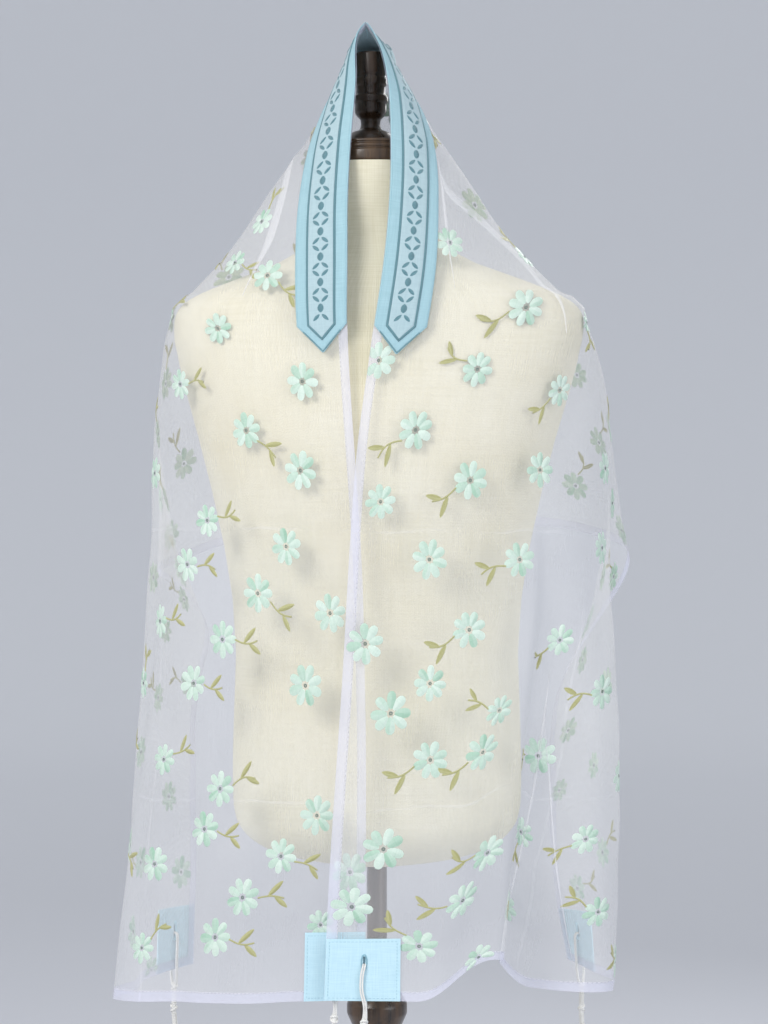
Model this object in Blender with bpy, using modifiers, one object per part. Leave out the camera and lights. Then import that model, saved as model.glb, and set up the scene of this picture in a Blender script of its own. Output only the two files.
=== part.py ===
# Tallit prayer shawl of sheer cloth, draped over a limbless dress form.
# The shawl is one rectangle of cloth. The middle of its top edge hangs over the turned finial,
# both halves come down the front, and the cloth wraps round each shoulder to the back.
# +Z is up and the front faces -Y. The origin is on the floor, on the axis of the pole.
# Sizes are in millimetres. A drop is a distance below the apex of the cloth.

import math
from collections import namedtuple

import bmesh
import bpy
import numpy as np
from mathutils import Matrix, Vector

MM = 0.001
APEX_HEIGHT = 1560.0                 # the apex above the floor
CLOTH_LENGTH = 1830.0                # the cut, along the top edge
CLOTH_DEPTH = 500.0                  # the cut, from the top edge to the bottom edge
HALF = CLOTH_LENGTH / 2
WALL = 1.2                           # thickness of every sewn layer
SEAM_GAP = 0.3                       # between pieces that touch
REST_GAP = 1.6                       # between the cloth and the form that it rests on

BAND_WIDTH = 54.0                    # neckband, from the top edge inwards
BAND_SHOULDER = 302.0                # where the point at each end begins, from the middle
BAND_POINT = BAND_WIDTH / 2
PATCH = 64.0                         # corner patch, square
HOLE_IN = 33.0                       # buttonhole, from the long edge of the cloth
HOLE_UP = 40.0                       # and from the short edge
HOLE_RADIUS = 4.0

SHOULDER = (260.0, 200.0)            # place in the flat cloth that lies on a shoulder's tip
NECK_SHIFT = -3.0                    # how far right of the pole's axis the neck stands
FINIAL_SHIFT = -6.0                  # and the finial

# Sections across each half of the cloth. A section starts at the front edge, passes over the side
# and ends at the rear edge. along is its place in the flat cloth, from the middle of the top edge.
# Its points are (right, back, drop). front_full and rear_full say how square the section is
# between them, where 0 is a straight line and 1 a full corner.
Section = namedtuple("Section", "along front side rear front_full rear_full")

LEFT_HALF = (
    Section(0, (-10.5, -30, 0), (-6.5, 16.5, 21.2), (0, 122, 448), 0.0, 0.75),
    Section(8, (-13.5, -31, 5), (-15, 12, 21.4), (-8, 122, 449), 0.0, 0.75),
    Section(15, (-16.5, -32, 10), (-22.5, 6, 22.5), (-15, 123, 449.5), 0.0, 0.75),
    Section(24, (-18.2, -33, 18), (-28, 4, 34), (-23, 124, 450.5), 0.1, 0.75),
    Section(60, (-18.5, -43, 55), (-52, 4, 79), (-56, 128, 455), 0.35, 0.75),
    Section(120, (-23, -58, 112), (-88, 3, 132), (-104, 132, 464), 0.42, 0.7),
    Section(195, (-26, -78, 183), (-145, 1, 209), (-156, 124, 490), 0.45, 0.7),
    Section(245, (-25.5, -92, 230), (-188, -2, 252), (-198, 88, 500), 0.5, 0.6),
    Section(290, (-26.5, -104, 271), (-200, -7, 286), (-213, 58, 508), 0.55, 0.35),
    Section(325, (-25.5, -109, 304), (-202, -9, 318), (-206, 56, 512), 0.6, 0.35),
    Section(365, (-23, -113, 344), (-206, -11, 354), (-193, 68, 520), 0.65, 0.4),
    Section(410, (-20, -118, 389), (-209, -12, 396), (-177, 79, 535), 0.65, 0.4),
    Section(450, (-17, -120, 429), (-210, -13, 433), (-165, 87, 553), 0.7, 0.4),
    Section(490, (-14.5, -121.5, 469), (-211, -14, 470), (-162, 92, 573), 0.8, 0.4),
    Section(535, (-12, -123, 514), (-212, -16, 512), (-167, 96, 593), 0.85, 0.45),
    Section(590, (-11, -124, 568), (-216, -18, 570), (-173, 98, 619), 0.88, 0.5),
    Section(660, (-9.5, -125, 638), (-222, -22, 640), (-176, 98, 663), 0.9, 0.45),
    Section(800, (-9.5, -128, 770), (-236, -30, 775), (-176, 99, 785), 0.92, 0.35),
    Section(915, (-9.5, -129, 877), (-244, -38, 893), (-178, 98, 888), 0.92, 0.3),
)

RIGHT_HALF = (
    Section(0, (-10.5, -30, 0), (-6.5, 16.5, 21.2), (0, 122, 448), 0.0, 0.75),
    Section(8, (-6.5, -31, 6), (2.5, 12, 21.4), (8, 122, 449), 0.0, 0.75),
    Section(15, (-3.5, -31.5, 12), (10, 6, 22.5), (15, 123, 449.5), 0.0, 0.75),
    Section(24, (0.5, -32.5, 20), (16, 4, 34), (22, 124, 450), 0.1, 0.75),
    Section(60, (8.5, -42, 53), (42, 4, 76), (56, 128, 453), 0.35, 0.75),
    Section(120, (12, -58, 112), (80, 3, 130), (106, 130, 457), 0.42, 0.7),
    Section(195, (10, -78, 183), (136, 1, 205), (166, 116, 465), 0.45, 0.7),
    Section(250, (5, -93, 235), (187, -2, 250), (213, 93, 474), 0.5, 0.6),
    Section(300, (-2.5, -105, 282), (206, -8, 288), (240, 74, 482), 0.55, 0.4),
    Section(350, (-9, -112, 331), (211, -11, 336), (242, 66, 499), 0.6, 0.35),
    Section(400, (-16, -119, 380), (214, -13, 386), (233, 67, 521), 0.67, 0.45),
    Section(445, (-20, -123, 425), (216, -15, 430), (215, 77, 550), 0.7, 0.55),
    Section(490, (-23, -126, 470), (217, -17, 473), (194, 89, 584), 0.8, 0.6),
    Section(540, (-26, -129, 520), (218, -20, 522), (176, 97, 618), 0.85, 0.6),
    Section(600, (-29, -131, 580), (219, -24, 581), (169, 99, 658), 0.88, 0.55),
    Section(660, (-33, -134, 640), (220, -28, 640), (168, 100, 694), 0.9, 0.45),
    Section(800, (-42, -137, 778), (219, -38, 775), (169, 98, 796), 0.92, 0.35),
    Section(915, (-46, -138, 876), (217, -45, 884), (184, 95, 883), 0.92, 0.3),
)

# Folds, which fan out from the tip of each shoulder. angle is a fold's direction in the flat
# cloth: 0 towards the short edge, 90 towards the rear edge. reach is how far it stands out at the
# cloth's edge, and below 0 it is a tuck. rise is how far it draws the hem up there. near and far
# are its half widths in degrees, towards the front edge and away from it. start is where it
# begins, from the shoulder's tip.
Fold = namedtuple("Fold", "angle reach near far start rise", defaults=(0,))

LEFT_FOLDS = (
    Fold(-7.0, 6, 4.0, 5.0, 160),
    Fold(1.0, -9, 4.0, 4.5, 160),
    Fold(13.5, -12, 5.0, 4.5, 160),
    Fold(104.0, 28, 9.5, 8.0, 60),
    Fold(121.0, 22, 7.0, 7.0, 90),
)
RIGHT_FOLDS = (
    Fold(-8.0, 6, 3.5, 3.5, 160),
    Fold(0.7, -74, 2.9, 10.5, 190),
    Fold(-2.6, 0, 7.0, 6.5, 200, 36),
    Fold(15.5, 8, 3.5, 4.0, 200),
    Fold(99.0, 18, 9.0, 8.0, 60),
    Fold(119.0, 20, 7.0, 7.0, 90),
)

# Rings of the torso, from the neck down.
Ring = namedtuple("Ring", "drop half_width half_depth right back")

TORSO = (
    Ring(129.7, 56, 55, NECK_SHIFT, 0),
    Ring(180, 57, 56, NECK_SHIFT, 0),
    Ring(197, 62, 59, -2, 1),
    Ring(209, 73, 64, -1, 2),
    Ring(220, 94, 69, 0, 3),
    Ring(231, 124, 75, 2, 4),
    Ring(243, 157, 80, 2, 5),
    Ring(252, 178, 84, 2, 5),
    Ring(261, 188, 87, 2, 5),
    Ring(273, 191, 90, 2, 4),
    Ring(295, 189, 95, 1, 2),
    Ring(320, 183, 100, 1, 0),
    Ring(383, 165, 107, 0, -1),
    Ring(430, 153, 108, 0, 0),
    Ring(480, 142, 103, 0, 1),
    Ring(530, 134, 97, 0, 2),
    Ring(580, 131, 96, 0, 3),
    Ring(673, 134, 101, 0, 4),
    Ring(717, 134, 102, 0, 4),
    Ring(738, 130, 99, 0, 4),
    Ring(754, 116, 89, 0, 4),
    Ring(766, 92, 72, 0, 3),
    Ring(773, 60, 48, 0, 2),
    Ring(777, 22, 20, 0, 0),
)
TORSO_SIDES = 32
SQUARENESS = 2.3                     # of each ring, where 2 is an ellipse

# Turned profiles, top to bottom: radius, height above the foot of the piece.
NECK_CAP = ((49, 20.5), (52.4, 20), (53.4, 18), (51.6, 16.5), (53.8, 15), (53.8, 13), (52, 11.5),
            (54, 10), (54, 1.5), (53, 0))
FINIAL = ((13.5, 85.6), (14.8, 84.4), (14.8, 66), (13.8, 63.5), (15.2, 61.5), (15.2, 56),
          (13.6, 54), (13.6, 47), (16.2, 45), (16.2, 40), (14.6, 38), (14.8, 30), (12.5, 26.5),
          (9.2, 23.5), (9.0, 18), (10.5, 14), (17.5, 11.5), (21.5, 7), (24, 2.5), (24, 0))
POLE = ((9.3, 782.7), (9.3, 668), (12, 664), (24, 661), (28, 654), (28, 645), (24, 636),
        (18.5, 624), (16.5, 600), (18.5, 560), (18.5, 160), (23, 152), (24.5, 144), (23, 136),
        (19, 128), (19, 108), (27, 92), (27, 46.3))
BASE = ((40, 46), (60, 45), (88, 39), (122, 32), (160, 28), (178, 26), (184, 21), (186, 14),
        (186, 4), (182, 0))
NECK_CAP_FOOT = APEX_HEIGHT - TORSO[0].drop + SEAM_GAP
FINIAL_FOOT = NECK_CAP_FOOT + NECK_CAP[0][1] + SEAM_GAP
POLE_FOOT = 0.0

# Tassel: a doubled cord through the buttonhole, a row of knots under the hem, and free strands.
CORD_RADIUS = 1.3
KNOTS = 5
KNOT_PITCH = 21.0
STRANDS = 8
STRAND_RADIUS = 0.75
TASSEL_LENGTH = 300.0                # from the buttonhole to the ends of the strands

model = bpy.data.collections.new("tallit_on_dress_form")
cutters = bpy.data.collections.new("cutters")


def clear_scene():
    for thing in list(bpy.data.objects):
        bpy.data.objects.remove(thing, do_unlink=True)
    for collection in (model, cutters):
        bpy.context.scene.collection.children.link(collection)


def finish(name, hex_colour, roughness):
    """A material with the linear values of an sRGB hex colour."""
    parts = [int(hex_colour[i:i + 2], 16) / 255 for i in (0, 2, 4)]
    colour = [c / 12.92 if c <= 0.04045 else ((c + 0.055) / 1.055) ** 2.4 for c in parts]
    material = bpy.data.materials.new(name)
    material.use_nodes = True
    shader = material.node_tree.nodes["Principled BSDF"]
    shader.inputs["Base Color"].default_value = (*colour, 1.0)
    shader.inputs["Roughness"].default_value = roughness
    shader.inputs["Metallic"].default_value = 0.0
    return material


def add_object(name, mesh, material):
    thing = bpy.data.objects.new(name, mesh)
    model.objects.link(thing)
    mesh.materials.append(material)
    mesh.shade_smooth()
    return thing


def mesh_of(thing):
    """The object's evaluated mesh, in world space and welded. The object is removed."""
    depsgraph = bpy.context.evaluated_depsgraph_get()
    mesh = bpy.data.meshes.new_from_object(thing.evaluated_get(depsgraph))
    mesh.transform(thing.matrix_world)
    bpy.data.objects.remove(thing, do_unlink=True)
    bm = bmesh.new()
    bm.from_mesh(mesh)
    bmesh.ops.remove_doubles(bm, verts=bm.verts, dist=0.00001)
    bmesh.ops.recalc_face_normals(bm, faces=bm.faces)
    bm.to_mesh(mesh)
    bm.free()
    return mesh


# The dress form

def make_torso():
    mesh = bpy.data.meshes.new("torso")
    bm = bmesh.new()
    power = 2 / SQUARENESS
    loops = []
    for ring in TORSO:
        loop = []
        for side in range(TORSO_SIDES):
            turn = 2 * math.pi * side / TORSO_SIDES
            across = math.copysign(abs(math.cos(turn)) ** power, math.cos(turn))
            through = math.copysign(abs(math.sin(turn)) ** power, math.sin(turn))
            loop.append(bm.verts.new(((ring.right + ring.half_width * across) * MM,
                                      (ring.back + ring.half_depth * through) * MM,
                                      (APEX_HEIGHT - ring.drop) * MM)))
        loops.append(loop)
    for upper, lower in zip(loops, loops[1:]):
        for side in range(TORSO_SIDES):
            after = (side + 1) % TORSO_SIDES
            bm.faces.new((upper[side], lower[side], lower[after], upper[after]))
    bm.faces.new(loops[0])
    bm.faces.new(loops[-1])
    bmesh.ops.recalc_face_normals(bm, faces=bm.faces)
    bm.to_mesh(mesh)
    bm.free()
    torso = add_object("torso", mesh, finish("cream_linen", "E4DEC6", 0.85))
    mesh.set_sharp_from_angle(angle=math.radians(40))
    return torso


def make_turned(name, profile, foot, right, material, sides):
    """A turned piece that stands with its foot at a height above the floor."""
    mesh = bpy.data.meshes.new(name)
    points = [(0.0, 0.0, profile[0][1] * MM)]
    points += [(radius * MM, 0.0, height * MM) for radius, height in profile]
    points.append((0.0, 0.0, profile[-1][1] * MM))
    mesh.from_pydata(points, [(i, i + 1) for i in range(len(points) - 1)], [])
    thing = bpy.data.objects.new(name, mesh)
    model.objects.link(thing)
    mesh.materials.append(material)
    thing.location = (right * MM, 0.0, foot * MM)
    screw = thing.modifiers.new("turned", "SCREW")
    screw.steps = screw.render_steps = sides
    screw.use_merge_vertices = True
    screw.merge_threshold = 0.00005
    screw.use_smooth_shade = True
    return thing


# The cloth

def smooth_through(stations, values, at):
    """Points of a smooth curve through the stations, read at the places in at."""
    stations = np.asarray(stations, float)
    values = np.asarray(values, float)
    slope = np.gradient(values, stations, axis=0)
    low = np.clip(np.searchsorted(stations, at, side="right") - 1, 0, len(stations) - 2)
    span = (stations[low + 1] - stations[low])[:, None]
    t = (np.asarray(at)[:, None] - stations[low][:, None]) / span
    return ((2 * t ** 3 - 3 * t ** 2 + 1) * values[low]
            + (t ** 3 - 2 * t ** 2 + t) * span * slope[low]
            + (3 * t ** 2 - 2 * t ** 3) * values[low + 1]
            + (t ** 3 - t ** 2) * span * slope[low + 1])


def bend(start, end, corner, full, count):
    """Points from start to end, pulled from the straight line towards a corner."""
    middle = (start + end) / 2
    pull = middle + (corner - middle) * full
    t = np.linspace(0.0, 1.0, count)[:, None]
    return (1 - t) ** 2 * start + 2 * t * (1 - t) * pull + t ** 2 * end


def spread(line, shares):
    """Points along a line at shares of its length."""
    steps = np.linalg.norm(np.diff(line, axis=0), axis=1)
    length = np.concatenate(([0.0], np.cumsum(steps)))
    wanted = np.asarray(shares) * length[-1]
    return np.stack([np.interp(wanted, length, line[:, axis]) for axis in range(3)], axis=-1)


def plain_half(sections, along, count):
    """One half of the cloth before its folds: a row of points for each place along it."""
    stations = [section.along for section in sections]

    def column(name):
        places = np.array([getattr(section, name) for section in sections], float)
        places[:, 2] = APEX_HEIGHT - places[:, 2]
        return smooth_through(stations, places, along)

    front, side, rear = column("front"), column("side"), column("rear")
    front_full = np.interp(along, stations, [section.front_full for section in sections])
    rear_full = np.interp(along, stations, [section.rear_full for section in sections])
    rows = []
    for row in range(len(along)):
        ahead, over, behind = front[row], side[row], rear[row]
        front_corner = np.array((over[0], ahead[1], (ahead[2] + over[2]) / 2))
        rear_corner = np.array((over[0], behind[1], 0.75 * over[2] + 0.25 * behind[2]))
        line = np.concatenate((bend(ahead, over, front_corner, front_full[row], count),
                               bend(over, behind, rear_corner, rear_full[row], count)[1:]))
        line = spread(line, np.linspace(0.0, 1.0, count))
        for _ in range(count // 8):
            line[1:-1] = (line[:-2] + 2 * line[1:-1] + line[2:]) / 4
        rows.append(line)
    return np.array(rows)


def outward(grid):
    """Unit normals of a grid of points, on the side away from the dress form."""
    normals = np.cross(np.gradient(grid, axis=0), np.gradient(grid, axis=1))
    return normals / (np.linalg.norm(normals, axis=-1, keepdims=True) + 1e-12)


def raised(grid, distance):
    """The grid moved outwards, so that each of its cells ends up at the distance."""
    across = (grid[1:, 1:] - grid[:-1, :-1], grid[:-1, 1:] - grid[1:, :-1])
    cells = np.cross(across[0], across[1])
    cells = cells / (np.linalg.norm(cells, axis=-1, keepdims=True) + 1e-12)
    total = np.zeros_like(grid)
    for down in (0, 1):
        for over in (0, 1):
            total[down:grid.shape[0] - 1 + down, over:grid.shape[1] - 1 + over] += cells
    total = total / np.linalg.norm(total, axis=-1, keepdims=True)
    lowest = np.ones(grid.shape[:2])
    for down in (0, 1):
        for over in (0, 1):
            rows = slice(down, grid.shape[0] - 1 + down)
            columns = slice(over, grid.shape[1] - 1 + over)
            facing = np.sum(total[rows, columns] * cells, axis=-1)
            lowest[rows, columns] = np.minimum(lowest[rows, columns], facing)
    return grid + total * (distance / np.maximum(lowest, 0.6))[..., None]


def fold_lift(folds, along, across):
    """How far the folds move the cloth, out and up, at places in the flat cloth."""
    down = along - SHOULDER[0]
    out = across - SHOULDER[1]
    far = np.hypot(down, out)
    angle = np.degrees(np.arctan2(out, down))
    total = np.zeros(far.shape + (2,))
    for fold in folds:
        turn = math.radians(fold.angle)
        to_short_edge = (HALF - SHOULDER[0]) / max(math.cos(turn), 0.05)
        to_rear_edge = (CLOTH_DEPTH - SHOULDER[1]) / max(math.sin(turn), 0.05)
        edge = min(to_short_edge, to_rear_edge)
        away = angle - fold.angle
        width = np.where(away < 0, fold.near, fold.far)
        shape = np.where(np.abs(away) < width, np.cos(np.pi * away / width / 2) ** 2, 0.0)
        growth = np.clip((far - fold.start) / (edge - fold.start), 0.0, 1.1)
        total += (shape * growth ** 1.3)[..., None] * (fold.reach, fold.rise)
    return total


def over_torso(points):
    """A field that is 0 on the torso and the neck cap and grows away from them."""
    drop = APEX_HEIGHT - points[..., 2]
    drops = [ring.drop for ring in TORSO]

    def at(name):
        return np.interp(drop, drops, [getattr(ring, name) for ring in TORSO])

    right, back = points[..., 0] - at("right"), points[..., 1] - at("back")
    ratio = ((np.abs(right) / at("half_width")) ** SQUARENESS
             + (np.abs(back) / at("half_depth")) ** SQUARENESS) ** (1 / SQUARENESS)
    beside = np.hypot(right, back) * (1 - 1 / np.maximum(ratio, 0.05))
    above = (TORSO[0].drop - NECK_CAP[0][1] - SEAM_GAP) - drop
    below = drop - TORSO[-1].drop
    return np.maximum(np.maximum(beside, above), below)


def over_finial(points):
    """The same for the finial, taken as a plain cylinder."""
    top = FINIAL_FOOT + FINIAL[0][1]
    radius = max(point[0] for point in FINIAL[:12])
    beside = np.hypot(points[..., 0] - FINIAL_SHIFT, points[..., 1]) - radius
    return np.maximum(beside, points[..., 2] - top)


def lift_off(points, field, margin):
    """How far each point has to move to lie at least margin outside a field's surface."""
    step = 0.5
    here = field(points)
    slope = np.stack([field(points + step * np.eye(3)[axis]) - here for axis in range(3)],
                     axis=-1) / step
    steep = np.linalg.norm(slope, axis=-1) + 1e-6
    short = np.maximum(margin - here / steep, 0.0)
    return slope / steep[..., None] * short[..., None]


def rest_on_form(grid):
    """Moves the grid, with the middles of its cells, just clear of the dress form."""
    margin = WALL / 2 + REST_GAP
    for field in (over_torso, over_finial):
        for _ in range(8):
            grid = grid + lift_off(grid, field, margin)
            middles = (grid[1:, 1:] + grid[:-1, 1:] + grid[1:, :-1] + grid[:-1, :-1]) / 4
            push = lift_off(middles, field, margin)
            needed = np.zeros_like(grid)
            for down in (0, 1):
                for over in (0, 1):
                    part = needed[down:grid.shape[0] - 1 + down, over:grid.shape[1] - 1 + over]
                    longer = np.linalg.norm(push, axis=-1) > np.linalg.norm(part, axis=-1)
                    part[longer] = push[longer]
            grid = grid + needed
    return grid


def cloth_grid(along, across):
    """The cloth's middle surface: rows from the left short edge to the right one."""
    count = 121
    shares = np.linspace(0.0, 1.0, count)
    left = plain_half(LEFT_HALF, along, count)
    right = plain_half(RIGHT_HALF, along, count)
    grid = np.concatenate((left[::-1], right[1:]))
    place = np.asarray(along, float)[:, None]
    lift = np.concatenate((fold_lift(LEFT_FOLDS, place, shares * CLOTH_DEPTH)[::-1],
                           fold_lift(RIGHT_FOLDS, place, shares * CLOTH_DEPTH)[1:]))
    grid = grid + lift[..., :1] * outward(grid) + lift[..., 1:] * (0, 0, 1)
    soft = np.interp(np.abs(np.arange(len(grid)) - len(along) + 1), (10, 14), (0.0, 0.25))
    for _ in range(3):
        grid[1:-1] += soft[1:-1, None, None] * (grid[:-2] - 2 * grid[1:-1] + grid[2:])
    wanted = np.asarray(across) / CLOTH_DEPTH
    return rest_on_form(np.array([spread(line, wanted) for line in grid]))


ALONG = [0, 6, 13, 22, 33, 46, 62, 80, 100, 122, 146, 170, 196, 222, 248, 275, BAND_SHOULDER,
         BAND_SHOULDER + BAND_POINT / 2, BAND_SHOULDER + BAND_POINT]
ALONG += list(np.linspace(BAND_SHOULDER + BAND_POINT, 600, 14)[1:])
ALONG += list(np.linspace(600, HALF - PATCH, 9)[1:])
ALONG += list(np.linspace(HALF - PATCH, HALF, 5)[1:])
ACROSS = [BAND_WIDTH * part / 4 for part in range(5)] + [PATCH]
ACROSS += list(np.linspace(PATCH, CLOTH_DEPTH - PATCH, 14)[1:])
ACROSS += list(np.linspace(CLOTH_DEPTH - PATCH, CLOTH_DEPTH, 5)[1:])


def make_shell(name, points, material, tips=()):
    """A sewn layer from rows of points. tips are extra faces at its ends."""
    mesh = bpy.data.meshes.new(name)
    bm = bmesh.new()
    rows = [[bm.verts.new(Vector(point) * MM) for point in row] for row in points]
    for upper, lower in zip(rows, rows[1:]):
        for left in range(len(upper) - 1):
            bm.faces.new((upper[left], lower[left], lower[left + 1], upper[left + 1]))
    for tip in tips:
        bm.faces.new([bm.verts.new(Vector(point) * MM) for point in tip])
    bmesh.ops.remove_doubles(bm, verts=bm.verts, dist=0.00001)
    bmesh.ops.recalc_face_normals(bm, faces=bm.faces)
    bm.to_mesh(mesh)
    bm.free()
    thing = add_object(name, mesh, material)
    wall = thing.modifiers.new("wall", "SOLIDIFY")
    wall.thickness = WALL * MM
    wall.offset = 0.0
    wall.use_even_offset = True
    wall.thickness_clamp = 0.0
    return thing


def make_cloth(grid):
    return make_shell("shawl_cloth", grid, finish("white_organza", "F1F0F6", 0.45))


def make_band(grid):
    """The neckband and its centre strip, moved out from the cloth's own points."""
    middle = len(ALONG) - 1
    reach = ALONG.index(BAND_SHOULDER)
    for name, layer, colour in (("neckband", 1, "A8D0DA"), ("neckband_centre", 2, "B9D5DC")):
        columns = range(layer - 1, 6 - layer)
        points = raised(grid, layer * (WALL + SEAM_GAP))
        rows = [points[middle + row, columns] for row in range(-reach, reach + 1)]
        tips = []
        for side in (-1, 1):
            for step in range(3 - layer):
                near = points[middle + side * (reach + step)]
                far = points[middle + side * (reach + step + 1)]
                first, last = layer - 1 + step, 5 - layer - step
                tips.append((near[first], near[first + 1], far[first + 1]))
                tips.append((near[last], far[last - 1], near[last - 1]))
                for column in range(first + 1, last - 1):
                    tips.append((near[column], near[column + 1], far[column + 1], far[column]))
        make_shell(name, rows, finish("blue_cotton_" + name, colour, 0.8), tips)


def corner_places():
    """Name, rows, columns and outer signs of each corner of the cloth."""
    last_row, last_column = 2 * len(ALONG) - 2, len(ACROSS) - 1
    for side, rows in (("left", range(0, 5)), ("right", range(last_row - 4, last_row + 1))):
        for end, columns in (("front", range(0, 6)),
                             ("rear", range(last_column - 4, last_column + 1))):
            yield side + "_" + end, list(rows), list(columns)


def buttonhole(grid, normals, rows, columns):
    """Centre and outward direction of the buttonhole in a corner."""
    patch_rows = np.array([grid[row, columns] for row in rows])
    share_up = HOLE_UP / PATCH
    share_in = HOLE_IN / PATCH
    up = share_up if rows[0] == 0 else 1 - share_up
    across = share_in if columns[0] == 0 else 1 - share_in
    line = np.array([spread(row, [across])[0] for row in patch_rows])
    centre = spread(line, [up])[0]
    direction = np.mean([normals[row, columns] for row in rows], axis=(0, 1))
    return centre, direction / np.linalg.norm(direction)


def make_cutter(centre, direction, name):
    bpy.ops.mesh.primitive_cylinder_add(vertices=14, radius=HOLE_RADIUS * MM, depth=16 * MM)
    cutter = bpy.context.object
    cutter.name = name
    cutter.rotation_mode = "QUATERNION"
    cutter.rotation_quaternion = Vector(direction).to_track_quat("Z", "Y")
    cutter.location = Vector(centre) * MM
    cutter.hide_render = True
    cutter.display_type = "WIRE"
    for collection in list(cutter.users_collection):
        collection.objects.unlink(cutter)
    cutters.objects.link(cutter)
    return cutter


def cut(thing, cutter):
    hole = thing.modifiers.new("buttonhole", "BOOLEAN")
    hole.operation = "DIFFERENCE"
    hole.object = cutter


# The tassels

def tube(points, sides_step):
    """A mesh tube through points (right, out, up, radius) of a corner's own frame."""
    curve = bpy.data.curves.new("cord", "CURVE")
    curve.dimensions = "3D"
    curve.bevel_depth = MM
    curve.bevel_resolution = sides_step
    curve.use_fill_caps = True
    spline = curve.splines.new("POLY")
    spline.points.add(len(points) - 1)
    for slot, (right, out, up, radius) in zip(spline.points, points):
        slot.co = (right * MM, -out * MM, up * MM, 1.0)
        slot.radius = radius
    cord = bpy.data.objects.new("cord", curve)
    cutters.objects.link(cord)
    bpy.context.view_layer.update()
    mesh = mesh_of(cord)
    piece = bpy.data.objects.new("cord", mesh)
    cutters.objects.link(piece)
    return piece


def loop_points():
    """The doubled cord from the first knot, up the patch, through the hole and down inside."""
    outer = WALL * 1.5 + SEAM_GAP + CORD_RADIUS + 0.7
    inner = -(WALL / 2 + CORD_RADIUS + 0.9)
    in_hole = -(HOLE_RADIUS - CORD_RADIUS - 2 * SEAM_GAP)
    knot = -HOLE_UP - 13
    path = ((0.6, 1.2, knot), (1.0, 3.0, knot + 6), (0.4, outer, knot + 16),
            (-2.4, outer + 0.3, -24), (-2.0, outer + 0.4, -11), (-0.4, outer - 0.1, -4.0),
            (0, 2.2, in_hole), (0, -0.4, in_hole), (0, inner, -4.2), (0.4, inner - 0.4, -12),
            (1.0, inner - 0.2, -30), (0.8, inner, knot + 9), (-0.4, -1.0, knot))
    return [(right, out, up, CORD_RADIUS) for right, out, up in path]


def knot_points():
    """The knotted head, from its first knot under the hem down to the free strands."""
    points = []
    top = -HOLE_UP - 10
    for knot in range(KNOTS):
        up = top - knot * KNOT_PITCH
        sway = 0.9 * math.sin(2.1 * knot)
        points += [(sway, 0.4, up, 2.2), (sway, 0.4, up - 2, 3.7), (sway, 0.4, up - 6, 3.7),
                   (sway * 0.6, 0.4, up - 8.5, 2.1)]
    return points


def strand_points(strand, foot):
    """One free strand, from inside the last knot to its end."""
    turn = 2 * math.pi * (strand + 0.5) / STRANDS
    points = []
    steps = 5
    for step in range(steps + 1):
        share = step / steps
        radius = 1.7 + 5.6 * share ** 0.8
        sway = 1.4 * math.sin(5.0 * share + 1.7 * strand) * share
        up = foot + 5 - share * (TASSEL_LENGTH + foot + 5 - 6 * math.sin(2.3 * strand + 1))
        points.append((radius * math.cos(turn) + sway, 0.4 + radius * math.sin(turn), up,
                       STRAND_RADIUS))
    return points


def tassel_mesh():
    """Loop, knots and strands joined into one closed mesh, in a corner's own frame."""
    head = tube(knot_points(), 2)
    foot = knot_points()[-1][2]
    parts = [tube(loop_points(), 1)]
    parts += [tube(strand_points(strand, foot), 0) for strand in range(STRANDS)]
    for part in parts:
        join = head.modifiers.new("join", "BOOLEAN")
        join.operation = "UNION"
        join.object = part
    bpy.context.view_layer.update()
    mesh = mesh_of(head)
    for part in parts:
        bpy.data.objects.remove(part, do_unlink=True)
    mesh.name = "tassel"
    return mesh


def make_tassel(name, mesh, centre, direction, material):
    """A tassel hung in a buttonhole. Its loop leans with the patch and faces the same way."""
    turn = math.atan2(direction[0], -direction[1])
    lean = direction[2] / math.hypot(direction[0], direction[1])
    mesh = mesh.copy()
    for vertex in mesh.vertices:
        below = min(max(-vertex.co.z / MM, 0.0), HOLE_UP + 12)
        vertex.co.y -= lean * below * MM
    thing = add_object(name, mesh, material)
    thing.matrix_world = Matrix.Translation(Vector(centre) * MM) @ Matrix.Rotation(turn, 4, "Z")
    return thing


def main():
    clear_scene()
    make_torso()
    walnut = finish("dark_walnut", "2E2018", 0.4)
    make_turned("neck_cap", NECK_CAP, NECK_CAP_FOOT, NECK_SHIFT, finish("walnut", "5E422B", 0.5), 24)
    make_turned("finial", FINIAL, FINIAL_FOOT, FINIAL_SHIFT, walnut, 18)
    make_turned("pole", POLE, POLE_FOOT, 0.0, finish("walnut_pole", "33241A", 0.45), 16)
    make_turned("base", BASE, POLE_FOOT, 0.0, finish("walnut_base", "33241A", 0.45), 36)

    grid = cloth_grid(ALONG, ACROSS)
    normals = outward(grid)
    cloth = make_cloth(grid)
    make_band(grid)
    hung = tassel_mesh()
    cord = finish("white_cotton_cord", "F4F3EE", 0.8)
    blue = finish("blue_cotton_patch", "AEDDF2", 0.8)
    outer = raised(grid, WALL + SEAM_GAP)
    for name, rows, columns in corner_places():
        centre, direction = buttonhole(grid, normals, rows, columns)
        cutter = make_cutter(centre, direction, "buttonhole_" + name)
        patch = make_shell("patch_" + name, [outer[row, columns] for row in rows], blue)
        cut(cloth, cutter)
        cut(patch, cutter)
        make_tassel("tassel_" + name, hung, centre, direction, cord)


main()
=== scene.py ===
# %% [markdown]
# # Tallit prayer shawl on a dress form
# One rectangle of sheer organza, embroidered with small mint flowers, hangs over the turned
# finial of a linen-covered form. A blue neckband lies along its top edge, and a knotted tassel
# hangs from each of its four corners. Every sewn piece is first laid out in the flat cloth, in
# millimetres, and then carried onto the draped surface.

import math
from collections import namedtuple

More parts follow.
